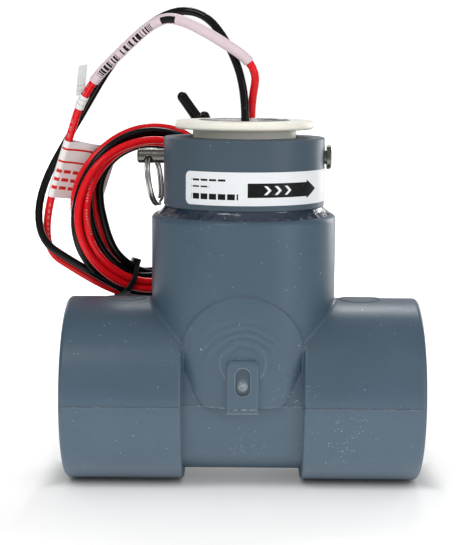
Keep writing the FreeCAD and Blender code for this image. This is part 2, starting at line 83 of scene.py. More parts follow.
class ShaderTree:
    """Adds and joins nodes, with patterns that follow a place in metres."""

    def __init__(self, tree: bpy.types.NodeTree) -> None:
        """Keeps the tree that the nodes go into.

        Args:
            tree: The node tree.
        """
        self.nodes = tree.nodes
        self.links = tree.links
        self.place: Socket | None = None

    def feed(self, socket: Socket, value: object) -> None:
        """Links an output to a socket, or sets a plain value on it.

        Args:
            socket: The input that gets the value.
            value: An output socket, a number or a colour.
        """
        if isinstance(value, Socket):
            self.links.new(value, socket)
        elif socket.type == "RGBA" and len(value) == 3:
            socket.default_value = (*value, 1.0)
        else:
            socket.default_value = value

    def fill(self, node: Node, inputs: dict[str, object]) -> None:
        """Feeds several sockets of a node, each by its name."""
        for name, value in inputs.items():
            self.feed(node.inputs[name], value)

    def add(self, kind: str, inputs: dict[str, object] | None = None, **settings: object) -> Node:
        """Adds one node.

        Args:
            kind: The node's type without its leading ShaderNode.
            inputs: What its sockets get, by name.
            settings: Properties of the node itself.

        Returns:
            The new node.
        """
        node = self.nodes.new("ShaderNode" + kind)
        for name, value in settings.items():
            setattr(node, name, value)
        self.fill(node, inputs or {})
        return node

    def math(self, operation: str, *values: object, kind: str = "Math") -> Socket:
        """Joins values by a math node.

        Args:
            operation: The node's operation.
            values: One to three sockets, numbers or directions.
            kind: Math for numbers, VectorMath for directions.

        Returns:
            The result.
        """
        node = self.add(kind, operation=operation)
        for socket, value in zip(node.inputs, values):
            self.feed(socket, value)
        return node.outputs["Value"]

    def times(self, *values: object) -> Socket:
        """Returns the product of two or more values."""
        return reduce(partial(self.math, "MULTIPLY"), values)

    def either(self, *masks: Socket) -> Socket:
        """Returns the largest of several masks."""
        return reduce(partial(self.math, "MAXIMUM"), masks)

    def dot(self, first: object, second: object) -> Socket:
        """Returns the dot product of two directions."""
        return self.math("DOT_PRODUCT", first, second, kind="VectorMath")

    def mix(self, mask: object, under: object, over: object) -> Socket:
        """Lays one colour over another.

        Args:
            mask: Where the upper colour shows, from 0 to 1.
            under: The lower colour.
            over: The upper colour.

        Returns:
            The mixed colour.
        """
        node = self.add("Mix", data_type="RGBA")
        factor, lower, upper = 0, 6, 7
        for index, value in ((factor, mask), (lower, under), (upper, over)):
            self.feed(node.inputs[index], value)
        return node.outputs[2]

    def ramp(self, value: object, start: float, end: float, low: float = 0.0, high: float = 1.0) -> Socket:
        """Maps a value to a smooth step.

        Args:
            value: The value that is mapped.
            start: Where the step begins.
            end: Where the step ends, which may be below its start.
            low: The result before the step.
            high: The result after the step.

        Returns:
            The mapped value.
        """
        node = self.add("MapRange", {"Value": value, "From Min": start, "From Max": end,
                                     "To Min": low, "To Max": high}, interpolation_type="SMOOTHSTEP")
        return node.outputs["Result"]

    def between(self, value: Socket, low: float, high: float) -> Socket:
        """Returns 1 where a value lies between two limits."""
        return self.times(self.math("GREATER_THAN", value, low), self.math("LESS_THAN", value, high))

    def off(self, value: Socket, middle: float) -> Socket:
        """Returns how far a value lies from a middle, to either side."""
        return self.math("ABSOLUTE", self.math("SUBTRACT", value, middle))

    def beat(self, value: Socket, pitch: float, share: float) -> Socket:
        """Returns 1 over the first share of every pitch."""
        return self.math("LESS_THAN", self.math("FRACT", self.times(value, 1 / pitch)), share)

    def axes(self, place: Socket) -> tuple[Socket, Socket, Socket]:
        """Returns the three parts of a place or a direction."""
        split = self.add("SeparateXYZ", {"Vector": place})
        return tuple(split.outputs[axis] for axis in "XYZ")

    def noise(self, scale: object, detail: float = 3.0, place: Socket | None = None) -> Socket:
        """Returns noise of a scale in waves per metre, here or at another place."""
        inputs = {"Vector": place or self.place, "Scale": scale, "Detail": detail}
        return self.add("TexNoise", inputs).outputs["Fac"]

    def bump(self, height: Socket, depth: float, rounding: float = 0.0) -> Socket:
        """Turns a height into a normal.

        Args:
            height: The height, as a share of the depth.
            depth: The depth in metres.
            rounding: The radius that sharp edges are rounded to.

        Returns:
            The normal.
        """
        node = self.add("Bump", {"Height": height, "Distance": depth})
        if rounding:
            rounded = self.add("Bevel", {"Radius": rounding}, samples=8)
            self.feed(node.inputs["Normal"], rounded.outputs["Normal"])
        return node.outputs["Normal"]


class Effect(Enum):
    """The surface effects that several finishes share, each one a shader group."""

    DRIFT = "colour_drift"
    SPECKS = "dust_specks"
    SCUFFS = "rub_marks"
    EDGES = "worn_and_highlit_edges"
    CREVICES = "painted_crevice_shade"
    TURNING = "turning_lines"


class EffectTree(ShaderTree):
    """The nodes of one shared effect."""

    SOCKETS = {
        Effect.DRIFT: ({"Place": None, "Scale": 45.0}, "Value"),
        Effect.SPECKS: ({"Place": None, "Scale": 350.0, "Density": 0.3, "Size": 0.1}, "Mask"),
        Effect.SCUFFS: ({"Place": None, "Scale": 1500.0, "Amount": 0.5}, "Mask"),
        Effect.EDGES: ({"Radius": 0.0008, "Gain": 3.0}, "Mask"),
        Effect.CREVICES: ({"Reach": 0.0014}, "Mask"),
        Effect.TURNING: ({"Along": 0.0, "Scale": 3000.0}, "Height"),
    }
    FINER = 9.0
    FINE_SHARE = 0.5
    CENTRING = (3.2, -2.4)
    LEAST_SPECK = 0.35
    SLANT = (0.4, 0.7, 0.3)
    STRETCH = (1.0, 0.7, 0.45)
    MARKS = (0.66, 0.72)
    PATCH_SCALE = 0.03
    PATCHES = (0.5, 0.66)
    SHADED = (0.92, 0.45)

    def __init__(self, group: bpy.types.NodeTree) -> None:
        """Adds the group's inputs.

        Args:
            group: The effect's group.
        """
        super().__init__(group)
        self.entry = self.nodes.new("NodeGroupInput").outputs
        self.place = self.entry.get("Place")

    @classmethod
    def make(cls, effect: Effect) -> bpy.types.NodeTree:
        """Makes the group of one effect.

        Args:
            effect: The effect.

        Returns:
            The group.
        """
        inputs, output = cls.SOCKETS[effect]
        group = bpy.data.node_groups.new(effect.value, "ShaderNodeTree")
        for label, default in inputs.items():
            kind = "NodeSocketVector" if default is None else "NodeSocketFloat"
            socket = group.interface.new_socket(label, in_out="INPUT", socket_type=kind)
            if default is not None:
                socket.default_value = default
        group.interface.new_socket(output, in_out="OUTPUT", socket_type="NodeSocketFloat")
        tree = cls(group)
        builder = {Effect.DRIFT: tree.drift, Effect.SPECKS: tree.specks, Effect.SCUFFS: tree.scuffs,
                   Effect.EDGES: tree.edges, Effect.CREVICES: tree.crevice_shade, Effect.TURNING: tree.turning}
        tree.feed(group.nodes.new("NodeGroupOutput").inputs[output], builder[effect]())
        return group

    def drift(self) -> Socket:
        """Builds a slow change over the surface with a finer one on top.

        Returns:
            The change, from -1 to 1.
        """
        scale = self.entry["Scale"]
        fine = self.noise(self.times(scale, self.FINER), 4.0)
        both = self.math("MULTIPLY_ADD", fine, self.FINE_SHARE, self.noise(scale, 2.0))
        return self.math("MULTIPLY_ADD", both, *self.CENTRING)

    def specks(self) -> Socket:
        """Builds small round specks of unequal size, one in some of the cells.

        Returns:
            The mask of the specks.
        """
        cells = self.add("TexVoronoi", {"Vector": self.place, "Scale": self.entry["Scale"]})
        chance = self.add("SeparateColor", {"Color": cells.outputs["Color"]})
        radius = self.times(self.entry["Size"], self.math("ADD", chance.outputs["Green"], self.LEAST_SPECK))
        inside = self.math("LESS_THAN", cells.outputs["Distance"], radius)
        return self.times(inside, self.math("LESS_THAN", chance.outputs["Red"], self.entry["Density"]))

    def scuffs(self) -> Socket:
        """Builds short thin rub marks that gather in patches.

        Returns:
            The mask of the marks.
        """
        scale = self.entry["Scale"]
        slanted = self.add("Mapping", {"Vector": self.place, "Rotation": self.SLANT, "Scale": self.STRETCH})
        marks = self.ramp(self.noise(scale, 2.0, slanted.outputs["Vector"]), *self.MARKS)
        patches = self.ramp(self.noise(self.times(scale, self.PATCH_SCALE), 2.0), *self.PATCHES)
        return self.times(marks, patches, self.entry["Amount"])

    def edges(self) -> Socket:
        """Finds where the surface turns sharply, so that a rounded normal leaves the true one.

        Returns:
            The mask of the edges.
        """
        rounded = self.add("Bevel", {"Radius": self.entry["Radius"]}, samples=4).outputs["Normal"]
        same = self.dot(rounded, self.add("NewGeometry").outputs["Normal"])
        turn = self.math("SUBTRACT", 1.0, same)
        return self.math("MINIMUM", self.times(turn, self.entry["Gain"]), 1.0)

    def crevice_shade(self) -> Socket:
        """Returns where the piece shades itself, as in its corners, for painted shade."""
        shade = self.add("AmbientOcclusion", {"Distance": self.entry["Reach"]}, samples=6, only_local=True)
        return self.ramp(shade.outputs["AO"], *self.SHADED)

    def turning(self) -> Socket:
        """Returns the height of fine lines across the way that a turned or drawn piece runs."""
        inputs = {"W": self.times(self.entry["Along"], self.entry["Scale"]), "Scale": 1.0, "Detail": 3.0}
        return self.add("TexNoise", inputs, noise_dimensions="1D").outputs["Fac"]


class MaterialTree(ShaderTree):
    """The nodes of one material, with its shader and the place on the object."""

    def __init__(self, material: bpy.types.Material) -> None:
        """Finds the shader and adds the place.

        Args:
            material: The material.
        """
        super().__init__(material.node_tree)
        self.shader = self.nodes["Principled BSDF"]
        self.place = self.add("TexCoord").outputs["Object"]

    def look(self, inputs: dict[str, object]) -> None:
        """Feeds several sockets of the shader, each by its name."""
        self.fill(self.shader, inputs)

    def surface(self) -> tuple[Socket, Socket]:
        """Returns the two directions of the piece's own surface map."""
        return self.axes(self.add("TexCoord").outputs["UV"])[:2]

    def effect(self, effect: Effect, **values: object) -> Socket:
        """Places a shared effect, whose group is made on its first use.

        Args:
            effect: The effect.
            values: What its named inputs get.

        Returns:
            The effect's output.
        """
        group = bpy.data.node_groups.get(effect.value) or EffectTree.make(effect)
        node = self.add("Group", node_tree=group)
        if "Place" in node.inputs:
            self.feed(node.inputs["Place"], self.place)
        self.fill(node, values)
        return node.outputs[0]


FINISHED: dict[str, bpy.types.Material] = {}


@dataclass(frozen=True)
class Finish:
    """One procedural finish.

    Attributes:
        colour: Its main colour in linear light.
    """

    name: str
    colour: Colour
    roughness: float

    def material(self) -> bpy.types.Material:
        """Makes the finish's material on its first use.

        Returns:
            The material.
        """
        if self.name not in FINISHED:
            made = bpy.data.materials.new(self.name)
            FINISHED[self.name] = made
            made.use_nodes = True
            made.diffuse_color = (*self.colour, 1.0)
            self.shade(MaterialTree(made))
        return FINISHED[self.name]

    def shade(self, tree: MaterialTree) -> None:
        """Builds the nodes that feed the shader."""
        raise NotImplementedError

    def toned(self, share: float) -> Colour:
        """Returns the main colour made lighter or darker by a share."""
        return tuple(min(part * (1 + share), 1.0) for part in self.colour)

    def drifting(self, tree: MaterialTree, scale: float, tones: Span) -> tuple[Socket, Socket]:
        """Lets the main colour drift over the surface.

        Args:
            tree: The material's tree.
            scale: How many drifts there are in a metre.
            tones: The shares by which the colour changes at the two ends of the drift.

        Returns:
            The drift from -1 to 1, and the colour.
        """
        drift = tree.effect(Effect.DRIFT, Scale=scale)
        level = tree.math("MULTIPLY_ADD", drift, 0.5, 0.5)
        return drift, tree.mix(level, *(self.toned(tone) for tone in tones))

    def roughened(self, tree: MaterialTree, drift: Socket, change: float) -> Socket:
        """Returns the mean roughness with a change that follows a drift."""
        return tree.math("MULTIPLY_ADD", drift, change, self.roughness)


@dataclass(frozen=True)
class MouldedPlastic(Finish):
    """Moulded or machined plastic with dust, rub marks, pale edges that are worn and painted as highlights,
    and painted shade in its corners.

    Attributes:
        tone: The share by which the colour drifts over the surface.
        drift_scale: How many drifts there are in a metre.
        specks: The share of cells that hold a pale speck.
        edge_wear_and_highlight: How far the edges go to the pale colour, as wear and as a painted highlight.
        corner_shade: How far corners are darkened with painted shade.
        pale: The colour of specks, rub marks, and edges that are worn and painted as highlights.
        grain: The depth of the fine surface grain, in metres.
        rounding: The radius that the light sees on sharp edges.
        gloss: How strongly it mirrors, where 0.5 is usual for plastic.
        softness: How far light goes under the surface.
    """

    tone: float = 0.1
    drift_scale: float = 45.0
    specks: float = 0.0
    scuffs: float = 0.0
    edge_wear_and_highlight: float = 0.0
    corner_shade: float = 0.0
    pale: Colour = (0.6, 0.6, 0.6)
    grain: float = 0.00002
    rounding: float = 0.0
    gloss: float = 0.5
    softness: float = 0.0

    ROUGH_DRIFT = 0.04
    GRAIN_SCALE = 2600.0
    CORNER_SHADE_TONE = -0.75
    SCUFF_ROUGH = 0.08
    SPECK_KINDS = ((240.0, 0.055), (620.0, 0.09))
    SPECK_COVER = 0.75
    SOFT_DEPTH = 0.0015

    def shade(self, tree: MaterialTree) -> None:
        """Builds colour, roughness and grain from the shared effects.

        Args:
            tree: The material's tree.
        """
        drift, colour = self.drifting(tree, self.drift_scale, (-self.tone, self.tone))
        rough = self.roughened(tree, drift, self.ROUGH_DRIFT)
        worn = [self.edge_wear_and_highlight]
        # Painted shade: corners and crevices where the piece shades itself are darkened.
        if self.corner_shade:
            corner = tree.effect(Effect.CREVICES)
            colour = tree.mix(tree.times(corner, self.corner_shade), colour, self.toned(self.CORNER_SHADE_TONE))
            worn.insert(0, tree.math("SUBTRACT", 1.0, corner))
        # Edges are painted pale, partly as wear and partly as a painted highlight, outside the painted corner
        # shade.
        if self.edge_wear_and_highlight:
            colour = tree.mix(tree.times(tree.effect(Effect.EDGES), *worn), colour, self.pale)
        if self.scuffs:
            scuff = tree.effect(Effect.SCUFFS, Amount=self.scuffs)
            colour = tree.mix(scuff, colour, self.pale)
            rough = tree.math("MULTIPLY_ADD", scuff, self.SCUFF_ROUGH, rough)
        if self.specks:
            kinds = [tree.effect(Effect.SPECKS, Scale=scale, Density=self.specks, Size=size)
                     for scale, size in self.SPECK_KINDS]
            colour = tree.mix(tree.times(tree.either(*kinds), self.SPECK_COVER), colour, self.pale)
        colour, height = self.mark(tree, colour, tree.noise(self.GRAIN_SCALE, 2.0))
        tree.look({"Base Color": colour, "Roughness": rough, "Specular IOR Level": self.gloss,
                   "Normal": tree.bump(height, self.grain, self.rounding)})
        if self.softness:
            tree.look({"Subsurface Weight": self.softness, "Subsurface Scale": self.SOFT_DEPTH})

    def mark(self, tree: MaterialTree, colour: Socket, height: Socket) -> tuple[Socket, Socket]:
        """Returns the colour and the height with the marks that only one piece has, here none."""
        return colour, height


@dataclass(frozen=True)
class TeePvc(MouldedPlastic):
    """The tee's grey plastic, with the marks of its mould and the dust that stuck to it.

    Attributes:
        gate: The middle of the gate boss, across and up.
        seam: The height of the parting line.
        oval: The half width, the lowest and the highest place of the oval in the boss.
        scar: The place, across and up, of the broken gate in the oval.
        dust: The places, across and up, and the radii of the dusty patches on the front.
    """

    gate: Span = (0.0, 0.0500)
    seam: float = 0.0365
    oval: tuple[float, float, float] = (0.0028, 0.0417, 0.0524)
    scar: Span = (0.0, 0.0456)
    dust: tuple[tuple[float, float, float], ...] = ((0.036, 0.022, 0.024), (0.020, 0.045, 0.014),
                                                    (-0.026, 0.066, 0.009), (0.002, 0.016, 0.014))

    FRONT = (-0.020, -0.028)
    ARCS = 1900.0
    ARC_FADE = (0.026, 0.013)
    ARC_RISE = 0.009
    ARC_DEPTH = 1.6
    WAVER = (120.0, 0.005)
    SEAM_SHADE = (0.00045, 0.0002, 0.0, 0.45)
    FLECKS = (0.00028, 0.0001)
    FLECK_SHARE = (0.022, 0.014, 0.14, 0.5)
    GAPS = (420.0, 0.46, 0.66)
    OVAL_FLOOR = (-0.0383, -0.0371)
    OVAL_COVER = 0.75
    TONES = (-0.5, -0.3)
    GRIT = (1500.0, 6.0)
    TORN = (0.002, 0.0040, 0.0022)
    TORN_SHARE = (0.3, 0.65, 0.15, 0.5)
    DUST_CORE = 0.2
    DUST_GAPS = (260.0, 0.42, 0.60)
    DUST_COVER = 0.9

    def mark(self, tree: MaterialTree, colour: Socket, height: Socket) -> tuple[Socket, Socket]:
        """Adds arcs round the gate, a painted shadow and pale flash flecks along the parting line, the rough
        oval and the dusty patches.

        Args:
            tree: The material's tree.
            colour: The colour so far.
            height: The surface height so far.

        Returns:
            The colour and the height with the marks.
        """
        across, back, up = tree.axes(tree.place)
        front = tree.ramp(back, *self.FRONT)
        seam_shadow_tone, oval_tone = self.TONES
        height = tree.math("ADD", height, self.arcs(tree, front))
        off_seam = tree.off(up, self.seam)
        # Painted shadow: a thin dark line along the parting line.
        colour = tree.mix(tree.ramp(off_seam, *self.SEAM_SHADE), colour, self.toned(seam_shadow_tone))
        broken = tree.ramp(tree.noise(self.GAPS[0]), *self.GAPS[1:])
        share = tree.ramp(tree.math("ABSOLUTE", across), *self.FLECK_SHARE)
        colour = tree.mix(tree.times(tree.ramp(off_seam, *self.FLECKS), broken, share), colour, self.pale)
        half_width, low, high = self.oval
        inside = tree.times(tree.between(across, -half_width, half_width), tree.between(up, low, high),
                            tree.between(back, *self.OVAL_FLOOR))
        colour = tree.mix(tree.times(inside, self.OVAL_COVER), colour, self.toned(oval_tone))
        scale, depth = self.GRIT
        grit = tree.noise(scale, 5.0)
        height = tree.math("ADD", height, tree.times(inside, grit, depth))
        fray, end, full = self.TORN
        torn = tree.math("MULTIPLY_ADD", grit, fray, self.distance(tree, *self.scar))
        pale = tree.times(inside, tree.ramp(torn, end, full), tree.ramp(grit, *self.TORN_SHARE))
        colour = tree.mix(pale, colour, self.pale)
        return self.dusty(tree, front, colour), height

    def distance(self, tree: MaterialTree, middle: float, level: float) -> Socket:
        """Works out how far a place lies from a point of the front, seen from the front.

        Args:
            tree: The material's tree.
            middle: Where the point lies across.
            level: How high it lies.

        Returns:
            The distance.
        """
        across, _, up = tree.axes(tree.place)
        sideways = tree.math("POWER", tree.math("SUBTRACT", across, middle), 2.0)
        upwards = tree.math("POWER", tree.math("SUBTRACT", up, level), 2.0)
        return tree.math("SQRT", tree.math("ADD", sideways, upwards))

    def arcs(self, tree: MaterialTree, front: Socket) -> Socket:
        """Builds the arcs that the melt left above the gate.

        Args:
            tree: The material's tree.
            front: The mask of the front.

        Returns:
            The height of the arcs.
        """
        scale, reach = self.WAVER
        away = self.distance(tree, *self.gate)
        waver = tree.math("MULTIPLY_ADD", tree.noise(scale), reach, away)
        rings = tree.math("SINE", tree.times(waver, self.ARCS))
        above = tree.ramp(tree.axes(tree.place)[2], self.gate[1], self.gate[1] + self.ARC_RISE)
        return tree.times(rings, tree.ramp(away, *self.ARC_FADE), front, above, self.ARC_DEPTH)

    def dusty(self, tree: MaterialTree, front: Socket, colour: Socket) -> Socket:
        """Lays fine dust over the patches.

        Args:
            tree: The material's tree.
            front: The mask of the front.
            colour: The colour so far.

        Returns:
            The colour with the dust.
        """
        patches = [tree.ramp(self.distance(tree, middle, level), radius, radius * self.DUST_CORE)
                   for middle, level, radius in self.dust]
        ragged = tree.ramp(tree.noise(self.DUST_GAPS[0], 4.0), *self.DUST_GAPS[1:])
        grains = tree.effect(Effect.SPECKS, Scale=1250.0, Density=0.6, Size=0.19)
        shown = tree.times(tree.either(*patches), front, ragged, grains, self.DUST_COVER)
        return tree.mix(shown, colour, self.pale)


@dataclass(frozen=True)
class TurnedMetal(Finish):
    """Bright metal with the fine lines of turning or drawing.

    Attributes:
        axis: The letter of the axis that the lines run across.
    """

    axis: str = "X"
    depth: float = 0.00002

    TONES = (-0.22, 0.12)
    EDGE_TONE = 0.5
    EDGE_COVER = 0.4
    LINE_ROUGH = 0.22
    DRIFT_ROUGH = 0.06

    def shade(self, tree: MaterialTree) -> None:
        """Builds a metal whose lines cross its axis, with some dull patches.

        Args:
            tree: The material's tree.
        """
        along = tree.axes(tree.place)["XYZ".index(self.axis)]
        lines = tree.effect(Effect.TURNING, Along=along, Scale=9000.0)
        drift, colour = self.drifting(tree, 260.0, self.TONES)
        # Edges are painted lighter, partly as wear and partly as a painted highlight.
        edge = tree.effect(Effect.EDGES, Radius=0.0003)
        colour = tree.mix(tree.times(edge, self.EDGE_COVER), colour, self.toned(self.EDGE_TONE))
        rough = tree.math("MULTIPLY_ADD", lines, self.LINE_ROUGH, self.roughness - self.LINE_ROUGH / 2)
        tree.look({"Base Color": colour, "Normal": tree.bump(lines, self.depth), "Metallic": 1.0,
                   "Roughness": tree.math("MULTIPLY_ADD", drift, self.DRIFT_ROUGH, rough)})


@dataclass(frozen=True)
class LeadJacket(Finish):
    """Extruded wire insulation with a worn line of plain dashes.

    Attributes:
        print_share: How strongly the dashes show.
        pitches: How many dashes there are along the lead.
    """

    print_colour: Colour = (0.5, 0.45, 0.45)
    print_share: float = 0.0
    pitches: float = 880.0

    TONES = (-0.14, 0.1)
    DUST = (0.6, 0.58, 0.58)
    DUST_COVER = 0.25
    DRIFT_ROUGH = 0.05
    WAVES = (420.0, 0.00003)
    TWIST = 9.0
    SIDE = (0.46, 0.54)
    DASH = (0.2, 0.75)
    GROUP = (11, 0.8)
    WORN = (1600.0, 0.38, 0.55)

    def shade(self, tree: MaterialTree) -> None:
        """Builds glossy insulation with a little drift, dust and the dashes.

        Args:
            tree: The material's tree.
        """
        drift, colour = self.drifting(tree, 60.0, self.TONES)
        dust = tree.effect(Effect.SPECKS, Scale=520.0, Density=0.12, Size=0.08)
        colour = tree.mix(tree.times(dust, self.DUST_COVER), colour, self.DUST)
        if self.print_share:
            colour = tree.mix(self.dashes(tree), colour, self.print_colour)
        scale, depth = self.WAVES
        tree.look({"Base Color": colour, "Roughness": self.roughened(tree, drift, self.DRIFT_ROUGH),
                   "Normal": tree.bump(tree.noise(scale), depth), "Specular IOR Level": 0.1,
                   "Coat Weight": 0.3, "Coat Roughness": 0.05})

    def dashes(self, tree: MaterialTree) -> Socket:
        """Builds short dashes along one side of the lead.

        Args:
            tree: The material's tree.

        Returns:
            The mask of the dashes.
        """
        first, second = tree.surface()
        count, filled = self.GROUP
        step = tree.math("FRACT", tree.times(first, self.pitches))
        turn = tree.math("FRACT", tree.math("MULTIPLY_ADD", first, self.TWIST, second))
        worn = tree.ramp(tree.noise(self.WORN[0]), *self.WORN[1:])
        return tree.times(tree.between(turn, *self.SIDE), tree.between(step, *self.DASH),
                          tree.beat(first, count / self.pitches, filled), worn, self.print_share)


@dataclass(frozen=True)
class CastResin(Finish):
    """Resin or cement that set from a liquid: smooth, wavy and glossy.

    Attributes:
        ripple: The depth of its waves, in metres.
        ripple_scale: How many waves there are in a metre.
        coat: How much clear gloss lies on it.
        gloss: How strongly it mirrors under the coat, where 0.5 is usual.
        bubbles: The share of cells with a small pale bubble.
    """

    ripple: float = 0.0002
    ripple_scale: float = 180.0
    coat: float = 0.5
    gloss: float = 0.5
    bubbles: float = 0.1

    TONES = (-0.25, 0.25)
    BUBBLE = (0.65, 0.68, 0.72)
    BUBBLE_COVER = 0.5
    DRIFT_ROUGH = 0.08

    def shade(self, tree: MaterialTree) -> None:
        """Builds the waves, the bubbles and the gloss.

        Args:
            tree: The material's tree.
        """
        drift, colour = self.drifting(tree, 120.0, self.TONES)
        bubble = tree.effect(Effect.SPECKS, Scale=420.0, Density=self.bubbles, Size=0.12)
        colour = tree.mix(tree.times(bubble, self.BUBBLE_COVER), colour, self.BUBBLE)
        tree.look({"Base Color": colour, "Roughness": self.roughened(tree, drift, self.DRIFT_ROUGH),
                   "Normal": tree.bump(tree.noise(self.ripple_scale), self.ripple),
                   "Specular IOR Level": self.gloss, "Coat Weight": self.coat, "Coat Roughness": 0.12})


@dataclass(frozen=True)
class WoundCopper(Finish):
    """Turns of enamelled wire side by side.

    Attributes:
        turns: How many turns there are in a metre.
    """

    turns: float = 4000.0

    WAVER = (300.0, 0.0004)
    HOLLOW = (-1.0, 0.2)
    TONES = (-0.7, 0.1)
    ROW_ROUGH = -0.15
    DEPTH = 0.00005

    def shade(self, tree: MaterialTree) -> None:
        """Builds the rows of wire across the winding's height.

        Args:
            tree: The material's tree.
        """
        scale, reach = self.WAVER
        waver = tree.math("MULTIPLY_ADD", tree.noise(scale), reach, tree.axes(tree.place)[2])
        row = tree.math("SINE", tree.times(waver, self.turns * math.tau))
        raised = tree.ramp(row, *self.HOLLOW)
        # Painted shade in the hollows between the turns, and a slight painted highlight on their crests.
        colour = tree.mix(raised, *(self.toned(tone) for tone in self.TONES))
        tree.look({"Base Color": colour, "Roughness": self.roughened(tree, raised, self.ROW_ROUGH),
                   "Normal": tree.bump(row, self.DEPTH), "Metallic": 1.0, "Coat Weight": 0.6})


@dataclass(frozen=True)
class BoardLaminate(Finish):
    """Circuit laminate with copper tracks under a green mask."""

    CELLS = 420.0
    TRACK = (0.42, 0.46)
    TRACK_TONE = 1.2
    PAD = 0.16
    TIN = (0.7, 0.68, 0.62)
    PAD_ROUGH = -0.1
    DEPTH = 0.00004

    def shade(self, tree: MaterialTree) -> None:
        """Builds straight tracks from stepped cells, with tinned pads.

        Args:
            tree: The material's tree.
        """
        cells = tree.add("TexVoronoi", {"Vector": tree.place, "Scale": self.CELLS}, distance="MANHATTAN")
        track = tree.ramp(cells.outputs["Distance"], *self.TRACK)
        pad = tree.math("LESS_THAN", cells.outputs["Distance"], self.PAD)
        colour = tree.mix(pad, tree.mix(track, self.colour, self.toned(self.TRACK_TONE)), self.TIN)
        tree.look({"Base Color": colour, "Metallic": pad, "Normal": tree.bump(track, self.DEPTH),
                   "Roughness": self.roughened(tree, pad, self.PAD_ROUGH)})


@dataclass(frozen=True)
class PrintedFilm(Finish):
    """A label film whose print follows its own surface map.

    Attributes:
        cover: How much the film hides of what is behind it.
    """

    length: float = 0.02
    height: float = 0.01
    ink: Colour = (0.004, 0.004, 0.005)
    cover: float = 1.0

    TONES = (-0.05, 0.0)
    DIRT = (0.35, 0.36, 0.38)
    WORN = (2400.0, 0.22, 0.3)
    WAVES = (260.0, 0.00006)
    DRIFT_ROUGH = 0.06

    def shade(self, tree: MaterialTree) -> None:
        """Builds the film, its dirt and its print.

        Args:
            tree: The material's tree.
        """
        first, second = tree.surface()
        drift, colour = self.drifting(tree, 70.0, self.TONES)
        dirt = tree.effect(Effect.SCUFFS, Scale=900.0, Amount=0.08)
        colour = tree.mix(dirt, colour, self.DIRT)
        worn = tree.ramp(tree.noise(self.WORN[0]), *self.WORN[1:])
        ink = self.print(tree, tree.times(first, self.length), tree.times(second, self.height))
        scale, depth = self.WAVES
        tree.look({"Base Color": tree.mix(tree.times(ink, worn), colour, self.ink),
                   "Roughness": self.roughened(tree, drift, self.DRIFT_ROUGH),
                   "Normal": tree.bump(tree.noise(scale), depth),
                   "Alpha": self.cover, "Specular IOR Level": 0.2})

    def print(self, tree: MaterialTree, along: Socket, up: Socket) -> Socket:
        """Returns a mask that is 1 where there is ink, from the distances along and up the film."""
        raise NotImplementedError


@dataclass(frozen=True)
class ArrowFilm(PrintedFilm):
    """The flow label: a solid arrow with open chevrons, and blank writing lines beside it.

    Attributes:
        arrow: Where the arrow starts, where its head starts and where its tip is.
        lines: The lowest and highest place of each writing line, and how far it goes.
    """

    arrow: tuple[float, float, float] = (0.0257, 0.0512, 0.0570)
    middle: float = 0.0058
    half_body: float = 0.0027
    half_head: float = 0.0036
    lines: tuple[tuple[float, float, float], ...] = ((0.0091, 0.0099, 0.0180), (0.0067, 0.0073, 0.0110),
                                                     (0.0022, 0.0044, 0.0222))
    lines_start: float = 0.0028

    CHEVRON = (0.0042, 0.3)
    CHEVRONS = (0.0075, 0.0195)
    CHEVRON_HALF = 0.62
    WORDS = (0.0036, 0.82)

    def print(self, tree: MaterialTree, along: Socket, up: Socket) -> Socket:
        """Builds the arrow, the chevrons cut out of it, and the writing lines.

        Args:
            tree: The material's tree.
            along: The distance along the film.
            up: The distance up the film.

        Returns:
            A mask that is 1 where there is ink.
        """
        start, neck, tip = self.arrow
        off = tree.off(up, self.middle)
        body = tree.times(tree.between(along, start, neck), tree.math("LESS_THAN", off, self.half_body))
        reach = tree.times(tree.math("SUBTRACT", tip, along), self.half_head / (tip - neck))
        head = tree.times(tree.math("GREATER_THAN", along, neck), tree.math("LESS_THAN", off, reach))
        bent = tree.math("ADD", along, off)
        chevrons = tree.times(tree.beat(bent, *self.CHEVRON),
                              tree.between(bent, *(start + place for place in self.CHEVRONS)),
                              tree.math("LESS_THAN", off, self.half_body * self.CHEVRON_HALF))
        arrow = tree.times(tree.either(body, head), tree.math("SUBTRACT", 1.0, chevrons))
        rows = [tree.times(tree.between(up, low, high), tree.between(along, self.lines_start, end))
                for low, high, end in self.lines]
        return tree.either(arrow, tree.times(tree.either(*rows), tree.beat(along, *self.WORDS)))


@dataclass(frozen=True)
class RuledFilm(PrintedFilm):
    """A flag label with two heavy rules and rows of dashes, and no words.

    Attributes:
        span: Where the rules and the rows start and end.
    """

    rules: tuple[float, ...] = (0.0215, 0.0158)
    rows: tuple[float, ...] = (0.0112, 0.0075, 0.0038)
    span: Span = (0.0060, 0.0272)

    RULE = 0.0009
    ROW = 0.0015
    DASH = (0.0045, 0.78)

    def print(self, tree: MaterialTree, along: Socket, up: Socket) -> Socket:
        """Builds the rules and the rows of dashes.

        Args:
            tree: The material's tree.
            along: The distance along the film.
            up: The distance up the film.

        Returns:
            A mask that is 1 where there is ink.
        """
        lines = tree.either(*(tree.between(up, height, height + self.RULE) for height in self.rules))
        rows = tree.either(*(tree.between(up, height, height + self.ROW) for height in self.rows))
        dashes = tree.times(rows, tree.beat(along, *self.DASH))
        return tree.times(tree.either(lines, dashes), tree.between(along, *self.span))


